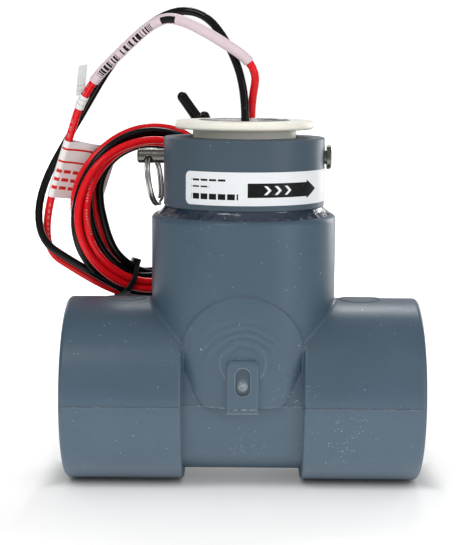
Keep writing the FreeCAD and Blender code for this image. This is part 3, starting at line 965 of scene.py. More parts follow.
@dataclass(frozen=True)
class BarFilm(PrintedFilm):
    """The marker sleeve: bars of chance width along one side, and a solid patch.

    Attributes:
        side: Where the print lies round the sleeve, as heights of the film.
    """

    bars: Span = (0.0440, 0.0760)
    patch: Span = (0.0335, 0.0398)
    side: Span = (0.0045, 0.0075)

    BAR = 0.00034
    BLANK = 0.52

    def print(self, tree: MaterialTree, along: Socket, up: Socket) -> Socket:
        """Builds the bars and the patch.

        Args:
            tree: The material's tree.
            along: The distance along the film.
            up: The distance up the film.

        Returns:
            A mask that is 1 where there is ink.
        """
        step = tree.math("FLOOR", tree.times(along, 1 / self.BAR))
        chance = tree.add("TexWhiteNoise", {"W": step}, noise_dimensions="1D").outputs["Value"]
        bars = tree.times(tree.math("GREATER_THAN", chance, self.BLANK), tree.between(along, *self.bars))
        return tree.times(tree.either(bars, tree.between(along, *self.patch)), tree.between(up, *self.side))


@dataclass(frozen=True)
class TickFilm(PrintedFilm):
    """The small tag: faint rows of ticks."""

    ROWS = ((0.0016, 0.0021), (0.0037, 0.0042))
    TICK = (0.0009, 0.6)
    FAINT = 0.55

    def print(self, tree: MaterialTree, along: Socket, up: Socket) -> Socket:
        """Returns two faint rows of ticks."""
        rows = tree.either(*(tree.between(up, low, high) for low, high in self.ROWS))
        return tree.times(rows, tree.beat(along, *self.TICK), self.FAINT)


GREY_PVC = TeePvc("grey_pvc_tee", linear(64, 83, 98), 0.34, tone=0.08, drift_scale=30.0, specks=0.22,
                  edge_wear_and_highlight=0.6, corner_shade=0.2, pale=linear(172, 182, 188), grain=0.00003, rounding=0.0011, gloss=0.4)
COLLAR_PVC = MouldedPlastic("grey_pvc_collar", linear(63, 79, 91), 0.4, tone=0.06, drift_scale=60.0,
                            specks=0.12, scuffs=0.12, edge_wear_and_highlight=0.2, corner_shade=0.5, pale=linear(172, 180, 186),
                            gloss=0.35)
CEMENT = CastResin("set_cement", linear(28, 43, 62), 0.12, ripple=0.0007, ripple_scale=210.0, coat=0.8,
                   bubbles=0.04)
HOUSING = MouldedPlastic("housing_cream", linear(241, 239, 226), 0.4, tone=0.03, specks=0.05, scuffs=0.1,
                         edge_wear_and_highlight=0.1, pale=linear(236, 234, 226), softness=0.15)
POTTING = CastResin("potting_resin", linear(120, 123, 124), 0.35, ripple=0.0001, coat=0.15, bubbles=0.14)
GLUE = CastResin("clear_glue", linear(214, 212, 206), 0.16, ripple=0.0002, coat=0.9, bubbles=0.0)
PIN_STEEL = TurnedMetal("pin_stainless", linear(112, 111, 106), 0.24, axis="X")
RING_STEEL = TurnedMetal("ring_stainless", linear(190, 188, 184), 0.24, axis="Z", depth=0.00001)
SHAFT_STEEL = TurnedMetal("shaft_ground", linear(200, 200, 202), 0.2, axis="Y")
BLACK_JACKET = LeadJacket("black_jacket", linear(5, 6, 7), 0.16)
RED_JACKET = LeadJacket("red_jacket", linear(228, 18, 28), 0.14, print_share=0.5)
CAP_VINYL = CastResin("vinyl_cap", linear(5, 5, 6), 0.12, ripple=0.0001, ripple_scale=240.0, coat=0.4,
                      gloss=0.1, bubbles=0.0)
TIE_NYLON = MouldedPlastic("nylon_tie", linear(12, 12, 13), 0.34, tone=0.1, edge_wear_and_highlight=0.25,
                           pale=linear(60, 60, 64))
FLOW_FILM = ArrowFilm("flow_label_film", linear(222, 225, 228), 0.38, length=0.0889, height=0.0126)
FLAG_FILM = RuledFilm("flag_film", linear(240, 238, 236), 0.42, length=0.0548, height=0.0254,
                      ink=linear(214, 44, 40))
SLEEVE_FILM = BarFilm("sleeve_film", linear(220, 202, 208), 0.4, length=0.0800, height=0.0132)
TAG_FILM = TickFilm("tag_film", linear(236, 236, 234), 0.4, length=0.0110, height=0.0063,
                    ink=linear(120, 120, 124))
TAIL_FILM = TickFilm("tail_film", linear(222, 226, 226), 0.3, length=0.0036, height=0.0122,
                     ink=linear(120, 120, 124), cover=0.8)
SEAL_RUBBER = MouldedPlastic("rubber_seal", linear(30, 30, 31), 0.6, specks=0.05, pale=linear(90, 90, 90))
FERRITE = MouldedPlastic("ferrite_rod", linear(62, 62, 65), 0.55, specks=0.1, pale=linear(120, 120, 124),
                         grain=0.00005)
NYLON = MouldedPlastic("nylon_bobbin", linear(206, 200, 184), 0.42, softness=0.2, edge_wear_and_highlight=0.1,
                       pale=linear(230, 226, 214))
IMPELLER_NYLON = MouldedPlastic("nylon_impeller", linear(66, 67, 70), 0.46, tone=0.12, specks=0.14,
                                scuffs=0.2, edge_wear_and_highlight=0.3, pale=linear(128, 128, 130), grain=0.00004)
BUSH = MouldedPlastic("plastic_bush", linear(236, 236, 232), 0.4, edge_wear_and_highlight=0.1, pale=linear(246, 246, 244))
CHIP = MouldedPlastic("component_case", linear(42, 42, 43), 0.5, edge_wear_and_highlight=0.4, pale=linear(96, 96, 98),
                      grain=0.00004)
WINDING = WoundCopper("wound_copper", linear(206, 122, 66), 0.35)
TAIL_COPPER = TurnedMetal("tail_copper", linear(214, 140, 88), 0.3, axis="Z")
LAMINATE = BoardLaminate("green_laminate", linear(24, 96, 52), 0.4)


class Bench:
    """The modelling steps that the hand-made pieces share."""

    @staticmethod
    def shut() -> None:
        """Goes back to object mode."""
        bpy.ops.object.mode_set(mode="OBJECT")

    @staticmethod
    def clear() -> None:
        """Leaves edit mode and deselects everything."""
        if bpy.context.object and bpy.context.object.mode != "OBJECT":
            Bench.shut()
        bpy.ops.object.select_all(action="DESELECT")

    @staticmethod
    def take(name: str) -> Piece:
        """Names the piece that was just added, and returns it."""
        bpy.context.object.name = bpy.context.object.data.name = name
        return bpy.context.object

    @staticmethod
    def only(piece: Piece) -> None:
        """Makes one piece the only selected and active one.

        Args:
            piece: The piece.
        """
        Bench.clear()
        piece.select_set(True)
        bpy.context.view_layer.objects.active = piece

    @staticmethod
    def open(piece: Piece, kind: str = "VERT", action: str = "SELECT") -> None:
        """Opens a piece in edit mode.

        Args:
            piece: The piece.
            kind: What is selected there: VERT, EDGE or FACE.
            action: SELECT for all of it, DESELECT for none.
        """
        Bench.only(piece)
        bpy.ops.object.mode_set(mode="EDIT")
        bpy.ops.mesh.select_mode(type=kind)
        bpy.ops.mesh.select_all(action=action)

    @staticmethod
    def trim(piece: Piece, place: Sequence[float], outward: Sequence[float], fill: bool = False) -> None:
        """Cuts off what lies beyond a plane.

        Args:
            piece: The piece.
            place: A point of the plane.
            outward: The way to the side that is cut off.
            fill: Whether the cut is closed.
        """
        Bench.open(piece)
        bpy.ops.mesh.bisect(plane_co=place, plane_no=outward, clear_outer=True, use_fill=fill)
        Bench.shut()

    @staticmethod
    def sheet(name: str, columns: int, rows: int, place: Placing) -> Piece:
        """Adds a grid and lays it out over a curved surface.

        Args:
            name: The piece's name.
            columns: How many faces it has along.
            rows: How many faces it has up.
            place: Gives the place of a point from its shares along and up.

        Returns:
            The piece, with its surface map from 0 to 1.
        """
        Bench.clear()
        bpy.ops.mesh.primitive_grid_add(x_subdivisions=columns, y_subdivisions=rows, size=1.0)
        piece = Bench.take(name)
        for vertex in piece.data.vertices:
            vertex.co = place(vertex.co.x + 0.5, vertex.co.y + 0.5)
        return piece

    @staticmethod
    def close(piece: Piece) -> None:
        """Merges a piece's doubled points and turns its faces outwards.

        Args:
            piece: The piece.
        """
        Bench.open(piece)
        bpy.ops.mesh.remove_doubles(threshold=1e-6)
        bpy.ops.mesh.normals_make_consistent(inside=False)
        Bench.shut()

    @staticmethod
    def modify(piece: Piece, kind: str, **settings: object) -> None:
        """Adds a modifier to a piece and applies it.

        Args:
            piece: The piece.
            kind: The modifier's type.
            settings: The modifier's properties.
        """
        Bench.only(piece)
        modifier = piece.modifiers.new(kind.lower(), kind)
        for name, value in settings.items():
            setattr(modifier, name, value)
        bpy.ops.object.modifier_apply(modifier=modifier.name)

    @staticmethod
    def settle(piece: Piece, place: Matrix | None = None) -> None:
        """Puts a piece in its place and moves that place into its mesh.

        Args:
            piece: The piece.
            place: Its place, where it isn't there already.
        """
        Bench.only(piece)
        if place is not None:
            piece.matrix_world = place
        bpy.ops.object.transform_apply(location=True, rotation=True, scale=True)

    @staticmethod
    def dress(piece: Piece, finish: Finish, body: str, slot: str, smooth: float = 35.0) -> Piece:
        """Gives a piece its finish, its shading and its body.

        Args:
            piece: The piece.
            finish: Its finish.
            body: The body that it rides on.
            slot: The record's material slot that it belongs to; not used.
            smooth: The largest angle that is shaded smooth, in degrees.

        Returns:
            The piece.
        """
        piece.data.materials.clear()
        piece.data.materials.append(finish.material())
        if piece.type == "MESH":
            Bench.only(piece)
            bpy.ops.object.shade_smooth_by_angle(angle=math.radians(smooth))
        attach(piece, body)
        LOG.info("%s rides on %s", piece.name, body)
        return piece

    @staticmethod
    def film(piece: Piece, thickness: float, finish: Finish, slot: str = "label_white") -> Piece:
        """Gives a thin sheet its thickness to both sides, dresses it and returns it."""
        Bench.modify(piece, "SOLIDIFY", thickness=thickness, offset=0.0)
        return Bench.dress(piece, finish, TEE, slot, smooth=60)

    @staticmethod
    def paint(node: str, finish: Finish) -> None:
        """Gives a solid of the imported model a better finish.

        Args:
            node: The solid's name.
            finish: Its finish.
        """
        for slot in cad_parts[node].material_slots:
            slot.material = finish.material()
        LOG.info("%s takes the finish %s", node, finish.name)


@dataclass
class TeeFitting:
    """The tee, the sleeve in its branch, the cement between them and the mould flash.

    Attributes:
        bead_radius: The radius of the spigot that the cement bead lies round.
        bead_head: How far its upper edge stands out.
        bead_foot: How much further its foot goes on the average.
        bead_hollow: How hollow its side is, where 1 is straight.
        bead_waves: The strength and the count of each wave of its foot round the spigot.
        bead_lump: The height and the count of the lumps on its side.
        overhang: The radius of the branch at the parting plane.
        flash_reach: How far the ragged flash goes to each side of the middle.
        flash_proud: How far the flash stands out of the branch.
        flash_above: How far its upper edge is above the parting plane.
        flash_drop: How far it hangs down on the average, how much that changes and its least.
        flash_waves: How many waves of its lower edge there are in a metre.
        boss_half_width: Half the width of the gate boss, which interrupts the flash.
    """

    bead_radius: float = 0.03015
    bead_low: float = 0.10728
    bead_height: float = 0.0032
    bead_head: float = 0.0012
    bead_foot: float = 0.0027
    bead_most: float = 0.0046
    bead_hollow: float = 1.6
    bead_waves: tuple[Span, ...] = ((0.4, 5), (0.3, 16))
    bead_lump: Span = (0.00025, 22)
    bead_faces: tuple[int, int] = (240, 12)
    seam_height: float = 0.0365
    overhang: float = 0.0364
    flash_reach: float = 0.0165
    flash_proud: float = 0.00012
    flash_above: float = 0.0003
    flash_drop: Point = (0.0004, 0.0005, 0.0001)
    flash_waves: float = 900
    flash_faces: tuple[int, int] = (60, 2)
    flash_thickness: float = 0.00022
    boss_half_width: float = 0.0066

    LUMP_RISE = 0.6
    FLASH_FADE = 4

    def build(self) -> None:
        """Dresses the solids and adds the bead and the flash."""
        Bench.paint("tee_body", GREY_PVC)
        Bench.paint("sensor_sleeve", COLLAR_PVC)
        self.cement_bead()
        for side, name in ((-1, "mould_flash_left"), (1, "mould_flash_right")):
            self.flash(side, name)

    def cement_bead(self) -> None:
        """Adds the fillet of set cement, hollow in section and uneven at its foot."""
        columns, rows = self.bead_faces
        lump_height, lumps = self.bead_lump
        last = rows + 3

        def place(along: float, around: float) -> Vector:
            """Gives a point of the closed section at a turn.

            Args:
                along: The share of the turn.
                around: The share of the way round the section.

            Returns:
                The point.
            """
            row = round(around * last)
            share = min(max((row - 1) / rows, 0.0), 1.0)
            way = heading(along * math.tau)
            ragged = 1 + sum(strength * noise.noise(way * count) for strength, count in self.bead_waves)
            reach = self.bead_head + self.bead_foot * ragged * (1 - share) ** self.bead_hollow
            bulge = noise.noise((way + UP * share * self.LUMP_RISE) * lumps) * math.sin(share * math.pi)
            out = min(reach, self.bead_most) + lump_height * bulge
            if row == 0 or row > rows + 1:
                out = 0.0
            level = self.bead_low if row == last else self.bead_low + share * self.bead_height
            return way * (self.bead_radius + out) + UP * level

        bead = Bench.sheet("cement_bead_rough", columns, last, place)
        Bench.close(bead)
        Bench.dress(bead, CEMENT, TEE, "cement", smooth=50)
        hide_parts("cement_bead")

    def flash(self, side: int, name: str) -> None:
        """Adds one stretch of the ragged flash at the parting plane.

        Args:
            side: -1 for left of the gate boss, 1 for right of it.
            name: The piece's name.
        """
        mean, change, least = self.flash_drop

        def place(along: float, down: float) -> Vector:
            """Gives a point of the flash.

            Args:
                along: The share of the way from the boss to the flash's end.
                down: The share of the way down.

            Returns:
                The point.
            """
            across = side * (self.boss_half_width + along * (self.flash_reach - self.boss_half_width))
            out = self.overhang + self.flash_proud
            ragged = mean + change * noise.noise(Vector((across * self.flash_waves, side, 0)))
            drop = down * max(ragged, least) * (1 - along ** self.FLASH_FADE)
            front = -math.sqrt(out * out - across * across)
            return Vector((across, front, self.seam_height + self.flash_above - drop))

        Bench.film(Bench.sheet(name, *self.flash_faces, place), self.flash_thickness, GREY_PVC, "grey_pvc")


@dataclass
class SensorInsert:
    """The sensor housing in its sleeve, its potting, the flow label and the glue at the red lead.

    Attributes:
        label_start: The angle of the label's left edge, in degrees from the outlet.
        label_sweep: The angle that it covers.
        corner_cuts: Where each of its corners is cut, as shares of its quarter turn.
        glue_waves: How uneven the blob is, and how many waves there are in a metre.
        creep: The section of the resin that crept up the well's wall, as radius and height.
        creep_waves: How uneven the resin's edge is, and how many waves it has.
    """

    label_radius: float = 0.03179
    label_low: float = 0.1129
    label_high: float = 0.1255
    label_start: float = -134.0
    label_sweep: float = 160.0
    label_faces: tuple[int, int] = (150, 22)
    label_thickness: float = 0.00008
    corner: float = 0.0022
    corner_cuts: tuple[float, ...] = (0.1, 0.3, 0.5, 0.7, 0.9)
    glue_place: Point = (0.0027, 0.0030, 0.1430)
    glue_radius: float = 0.0026
    glue_stretch: Point = (1.15, 1.0, 0.75)
    glue_faces: tuple[int, int] = (40, 20)
    glue_waves: Span = (0.5, 500)
    potting_top: float = 0.14302
    creep: tuple[Span, ...] = (
        (0.0140, 0.1429), (0.0140, 0.14302), (0.0156, 0.1431), (0.0168, 0.14328), (0.0175, 0.14355),
        (0.01798, 0.1440), (0.01798, 0.1429), (0.0140, 0.1429))
    creep_most: float = 0.0011
    creep_waves: Span = (0.3, 3)
    creep_faces: int = 120

    def build(self) -> None:
        """Dresses the solids and adds the crept resin, the label and the glue."""
        Bench.paint("sensor_housing", HOUSING)
        Bench.paint("potting", POTTING)
        self.crept_resin()
        self.flow_label()
        self.glue()

    def crept_resin(self) -> None:
        """Adds the rim of resin that crept up the wall of the well while it set."""
        last = len(self.creep) - 1
        change, waves = self.creep_waves

        def place(along: float, around: float) -> Vector:
            """Gives a point of the closed section at a turn.

            Args:
                along: The share of the turn.
                around: The share of the way round the section.

            Returns:
                The point.
            """
            radius, height = self.creep[round(around * last)]
            way = heading(along * math.tau)
            rise = max(height - self.potting_top, 0.0) * (1 + change * noise.noise(way * waves))
            return way * radius + UP * (min(height, self.potting_top) + min(rise, self.creep_most))

        rim = Bench.sheet("crept_resin_rim", self.creep_faces, last, place)
        Bench.close(rim)
        Bench.dress(rim, POTTING, TEE, "potting_grey", smooth=60)

    def flow_label(self) -> None:
        """Adds the label, cut flat with round corners and then laid round the collar."""
        length = math.radians(self.label_sweep) * self.label_radius
        height = self.label_high - self.label_low
        label = Bench.sheet("flow_label_sheet", *self.label_faces,
                            lambda along, up: Vector((along * length, 0, up * height)))
        self.round_corners(label, length, height)
        for vertex in label.data.vertices:
            angle = math.radians(self.label_start) + vertex.co.x / self.label_radius
            vertex.co = heading(angle) * self.label_radius + UP * (self.label_low + vertex.co.z)
        Bench.modify(label, "SOLIDIFY", thickness=self.label_thickness, offset=1.0)
        Bench.dress(label, FLOW_FILM, TEE, "label_white")
        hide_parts("flow_label")

    def round_corners(self, label: Piece, length: float, height: float) -> None:
        """Cuts the corners of the flat label round by a few straight cuts each.

        Args:
            label: The flat label.
            length: Its length.
            height: Its height.
        """
        for corner_x, corner_z in ((0, 0), (length, 0), (length, height), (0, height)):
            inward = Vector((math.copysign(self.corner, length / 2 - corner_x), 0,
                             math.copysign(self.corner, height / 2 - corner_z)))
            middle = Vector((corner_x, 0, corner_z)) + inward
            for share in self.corner_cuts:
                turn = share * math.pi / 2
                outward = Vector((-math.copysign(math.cos(turn), inward.x), 0,
                                  -math.copysign(math.sin(turn), inward.z)))
                Bench.trim(label, middle + outward * self.corner, outward)

    def glue(self) -> None:
        """Adds the blob of clear glue round the foot of the red lead."""
        around, rings = self.glue_faces
        change, waves = self.glue_waves
        Bench.clear()
        bpy.ops.mesh.primitive_uv_sphere_add(segments=around, ring_count=rings, radius=self.glue_radius,
                                             location=self.glue_place, scale=self.glue_stretch)
        blob = Bench.take("lead_glue_blob")
        Bench.settle(blob)
        Bench.trim(blob, self.glue_place, -UP, fill=True)
        for vertex in blob.data.vertices:
            away = vertex.co - Vector(self.glue_place)
            vertex.co += Vector((away.x, away.y, 0)) * change * noise.noise(vertex.co * waves)
        Bench.dress(blob, GLUE, TEE, "potting_grey", smooth=80)


@dataclass
class PinAndRing:
    """The clevis pin and the split ring through its end.

    Attributes:
        hole: The middle of the pin's cross hole.
        hole_tilt: How far the hole's back end is raised, in degrees.
        lean: How far the ring leans out of the hole's direction, in degrees.
        rise: How far the ring's wire lies above the middle of the hole.
        pitch: The distance between the ring's two turns.
        gap: The angle over which the wire steps from one turn to the other, in degrees.
        swing: How far the ring leans to the collar, in degrees.
        skew: How far the ring is turned about the way it hangs, in degrees.
    """

    hole: Point = (-0.0376, 0.0, 0.1296)
    hole_tilt: float = 36.0
    lean: float = 14.0
    rise: float = 0.0003
    ring_radius: float = 0.0104
    wire_radius: float = 0.00056
    pitch: float = 0.0012
    gap: float = 30.0
    sides: int = 18
    steps: int = 220
    swing: float = 11.0
    skew: float = 6.0

    def build(self) -> None:
        """Dresses the pin and winds the ring."""
        Bench.paint("clevis_pin", PIN_STEEL)
        Bench.clear()
        bpy.ops.mesh.primitive_circle_add(vertices=self.sides, radius=self.wire_radius, fill_type="NOTHING",
                                          rotation=(math.pi / 2, 0, 0), location=(self.ring_radius, 0, 0))
        ring = Bench.take("split_ring_wound")
        Bench.settle(ring)
        gap = math.radians(self.gap)
        length = 2 * math.tau - gap
        Bench.modify(ring, "SCREW", axis="Z", angle=length, screw_offset=0.0, steps=self.steps,
                     render_steps=self.steps, use_merge_vertices=False)
        for vertex in ring.data.vertices:
            along = vertex.index // self.sides * length / self.steps + gap / 2
            vertex.co.z += self.pitch * (smooth_step((along - math.tau) / gap + 0.5) - 0.5)
        self.close_ends(ring)
        Bench.settle(ring, self.attitude() @ Matrix.Rotation(gap / 2, 4, "Z"))
        Bench.dress(ring, RING_STEEL, RING, "ring_steel", smooth=50)
        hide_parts("split_ring")

    def close_ends(self, ring: Piece) -> None:
        """Closes the two cut ends of the wire and turns the faces outwards.

        Args:
            ring: The ring.
        """
        Bench.open(ring, "EDGE", "DESELECT")
        bpy.ops.mesh.select_non_manifold()
        bpy.ops.mesh.edge_face_add()
        bpy.ops.mesh.select_all(action="SELECT")
        bpy.ops.mesh.normals_make_consistent(inside=False)
        Bench.shut()

    def attitude(self) -> Matrix:
        """Works out how the ring hangs in the hole.

        Returns:
            The ring's place.
        """
        tilt = math.radians(self.hole_tilt - self.lean)
        swing = math.radians(self.swing)
        along = Vector((0, math.cos(tilt), math.sin(tilt)))
        hang = Vector((0, along.z, -along.y)) * math.cos(swing) + Vector((1, 0, 0)) * math.sin(swing)
        axes = Matrix((hang, along, hang.cross(along))).transposed()
        turned = Matrix.Rotation(math.radians(self.skew), 3, hang) @ axes
        return Matrix.Translation(Vector(self.hole) + hang * (self.ring_radius - self.rise)) @ turned.to_4x4()


@dataclass
class LeadCoil:
    """The tied coil of both leads, as turns in its own upright plane.

    Attributes:
        yaw: How far its plane is turned about Z, in degrees.
        first: The angle where both leads enter it, in degrees.
        last: The angle where both leads leave it.
        step: The angle between two points of a turn.
        gap: The least distance between the middles of two strands.
        black: The angle, radius and depth of the black lead at some places, as red has them.
    """

    centre: Point = (-0.0396, 0.0335, 0.1044)
    yaw: float = 20.0
    first: int = 250
    last: int = 2170
    step: int = 20
    gap: float = 0.00326
    tie_angle: float = 252.5
    black: tuple[Point, ...] = (
        (250, 0.0350, -0.0010), (270, 0.0344, -0.0008), (360, 0.0350, -0.0006), (441, 0.0346, 0.0002),
        (470, 0.0332, 0.0002), (495, 0.0316, -0.0001), (515, 0.0309, -0.0001), (540, 0.0318, 0.0),
        (560, 0.0345, 0.0002), (585, 0.0350, 0.0010), (610, 0.0332, 0.0018), (630, 0.0328, 0.0018),
        (720, 0.0316, 0.0004), (810, 0.0318, 0.0032), (855, 0.0300, 0.0042), (880, 0.0272, 0.0020),
        (900, 0.0250, 0.0001), (945, 0.0256, -0.0002), (970, 0.0282, -0.0010), (990, 0.0286, -0.0008),
        (1080, 0.0284, 0.0008), (1170, 0.0288, 0.0030), (1215, 0.0276, 0.0020), (1240, 0.0228, 0.0004),
        (1260, 0.0190, 0.0), (1283, 0.0190, -0.0003), (1305, 0.0222, -0.0006), (1330, 0.0252, -0.0010),
        (1352, 0.0285, -0.0006), (1440, 0.0332, 0.0059), (1530, 0.0318, 0.0086), (1575, 0.0310, 0.0070),
        (1620, 0.0300, 0.0012), (1665, 0.0304, -0.0004), (1690, 0.0314, -0.0010), (1710, 0.0316, -0.0006),
        (1800, 0.0342, 0.0026), (1890, 0.0334, 0.0062), (1935, 0.0300, 0.0075), (1980, 0.0265, 0.0036),
        (2050, 0.0266, 0.0018), (2070, 0.0270, 0.0022), (2160, 0.0300, 0.0055), (2200, 0.0325, 0.0066))
    red: tuple[Point, ...] = (
        (250, 0.0366, 0.0016), (270, 0.0368, 0.0014), (300, 0.0366, -0.0014), (360, 0.0330, -0.0033),
        (443, 0.0302, -0.0034), (470, 0.0298, -0.0034), (490, 0.0305, -0.0035), (520, 0.0310, -0.0035),
        (540, 0.0323, -0.0035), (562, 0.0330, -0.0035), (586, 0.0320, -0.0036), (610, 0.0326, -0.0038),
        (630, 0.0329, -0.0038), (720, 0.0298, -0.0024), (810, 0.0296, -0.0001), (833, 0.0290, -0.0004),
        (855, 0.0284, -0.0016), (880, 0.0284, -0.0030), (900, 0.0282, -0.0033), (927, 0.0290, -0.0034),
        (945, 0.0290, -0.0035), (970, 0.0294, -0.0038), (990, 0.0296, -0.0038), (1080, 0.0304, 0.0035),
        (1170, 0.0300, 0.0062), (1215, 0.0276, 0.0052), (1240, 0.0246, 0.0040), (1260, 0.0214, 0.0030),
        (1283, 0.0214, 0.0032), (1305, 0.0236, 0.0038), (1330, 0.0282, 0.0046), (1350, 0.0300, 0.0044),
        (1440, 0.0364, 0.0054), (1512, 0.0369, 0.0035), (1530, 0.0354, 0.0035), (1549, 0.0338, 0.0034),
        (1561, 0.0325, 0.0033), (1575, 0.0312, 0.0033), (1620, 0.0304, 0.0037), (1665, 0.0300, 0.0028),
        (1690, 0.0298, 0.0018), (1710, 0.0312, 0.0024), (1800, 0.0346, 0.0090), (1890, 0.0338, 0.0092),
        (1912, 0.0318, 0.0100), (1935, 0.0302, 0.0096), (1980, 0.0288, 0.0056), (2050, 0.0314, 0.0046),
        (2070, 0.0318, 0.0044), (2160, 0.0330, 0.0064), (2200, 0.0360, 0.0070))

    ROUNDS = 160
    EASE = 0.04
    HOLD = 0.08
    PRESS = 0.3

    def back(self) -> Vector:
        """Returns the direction behind the coil's plane."""
        yaw = math.radians(self.yaw)
        return Vector((-math.sin(yaw), math.cos(yaw), 0))

    def point(self, angle: float, radius: float, depth: float) -> Vector:
        """Gives a place in the coil.

        Args:
            angle: The angle round the coil, in degrees from the right.
            radius: The distance from its middle.
            depth: The distance behind its plane.

        Returns:
            The place in the object's frame.
        """
        turn = math.radians(angle)
        out = heading(math.radians(self.yaw)) * math.cos(turn) + UP * math.sin(turn)
        return Vector(self.centre) + out * radius + self.back() * depth

    def angles(self) -> np.ndarray:
        """Returns the angles of a lead's points in the coil."""
        return np.arange(self.first, self.last + 1, self.step)

    def strands(self) -> tuple[np.ndarray, np.ndarray]:
        """Lays both leads out, smooths them and presses their turns apart.

        Returns:
            For the black and for the red lead, a row of radius and depth for each angle.
        """
        angles = self.angles()
        laid = []
        for stations in (self.black, self.red):
            turn, radius, depth = np.array(stations).T
            laid.append(np.column_stack((np.interp(angles, turn, radius), np.interp(angles, turn, depth))))
        both = np.concatenate(laid)
        planned = both.copy()
        loose = np.ones((len(both), 1))
        loose[[0, len(angles)]] = 0.0
        slices = np.tile(angles % 360, 2)
        inner = np.arange(len(both)) % len(angles) < len(angles) - 1
        for _ in range(self.ROUNDS):
            for strand in (both[:len(angles)], both[len(angles):]):
                strand[1:-1] += (strand[:-2] + strand[2:] - 2 * strand[1:-1]) * self.EASE
            both += (planned - both) * loose * self.HOLD
            push = np.zeros_like(both)
            for angle in np.unique(slices):
                here = np.flatnonzero(slices == angle)
                push[here] += self.apart(both[here])
                between = here[inner[here]]
                half = self.apart((both[between] + both[between + 1]) / 2)
                push[between] += half / 2
                push[between + 1] += half / 2
            both += push * loose
        return both[:len(angles)], both[len(angles):]

    def apart(self, places: np.ndarray) -> np.ndarray:
        """Works out how strands that share a slice press each other away.

        Args:
            places: The radius and depth of each strand in the slice.

        Returns:
            How far each strand moves.
        """
        touching, nudge = 1e-7, 1e-5
        away = places[:, None] - places[None]
        distance = np.linalg.norm(away, axis=2) + np.eye(len(places))
        away[distance < touching] = (0.0, nudge)
        press = np.clip(self.gap - distance, 0, None) / np.maximum(distance, nudge)
        return (away * press[:, :, None]).sum(axis=1) * self.PRESS

    def places(self, strand: np.ndarray) -> list[Vector]:
        """Returns the points of one lead in the coil."""
        return [self.point(angle, *row) for angle, row in zip(self.angles(), strand)]

    def section(self, strands: Sequence[np.ndarray], angle: float) -> np.ndarray:
        """Finds every strand that passes an angle.

        Args:
            strands: The rows of both leads.
            angle: The angle, in degrees.

        Returns:
            The radius and depth of each strand there.
        """
        passed = [turn for turn in np.arange(angle, self.last, 360.0) if turn >= self.first]
        return np.array([[np.interp(turn, self.angles(), column) for column in strand.T]
                         for strand in strands for turn in passed])


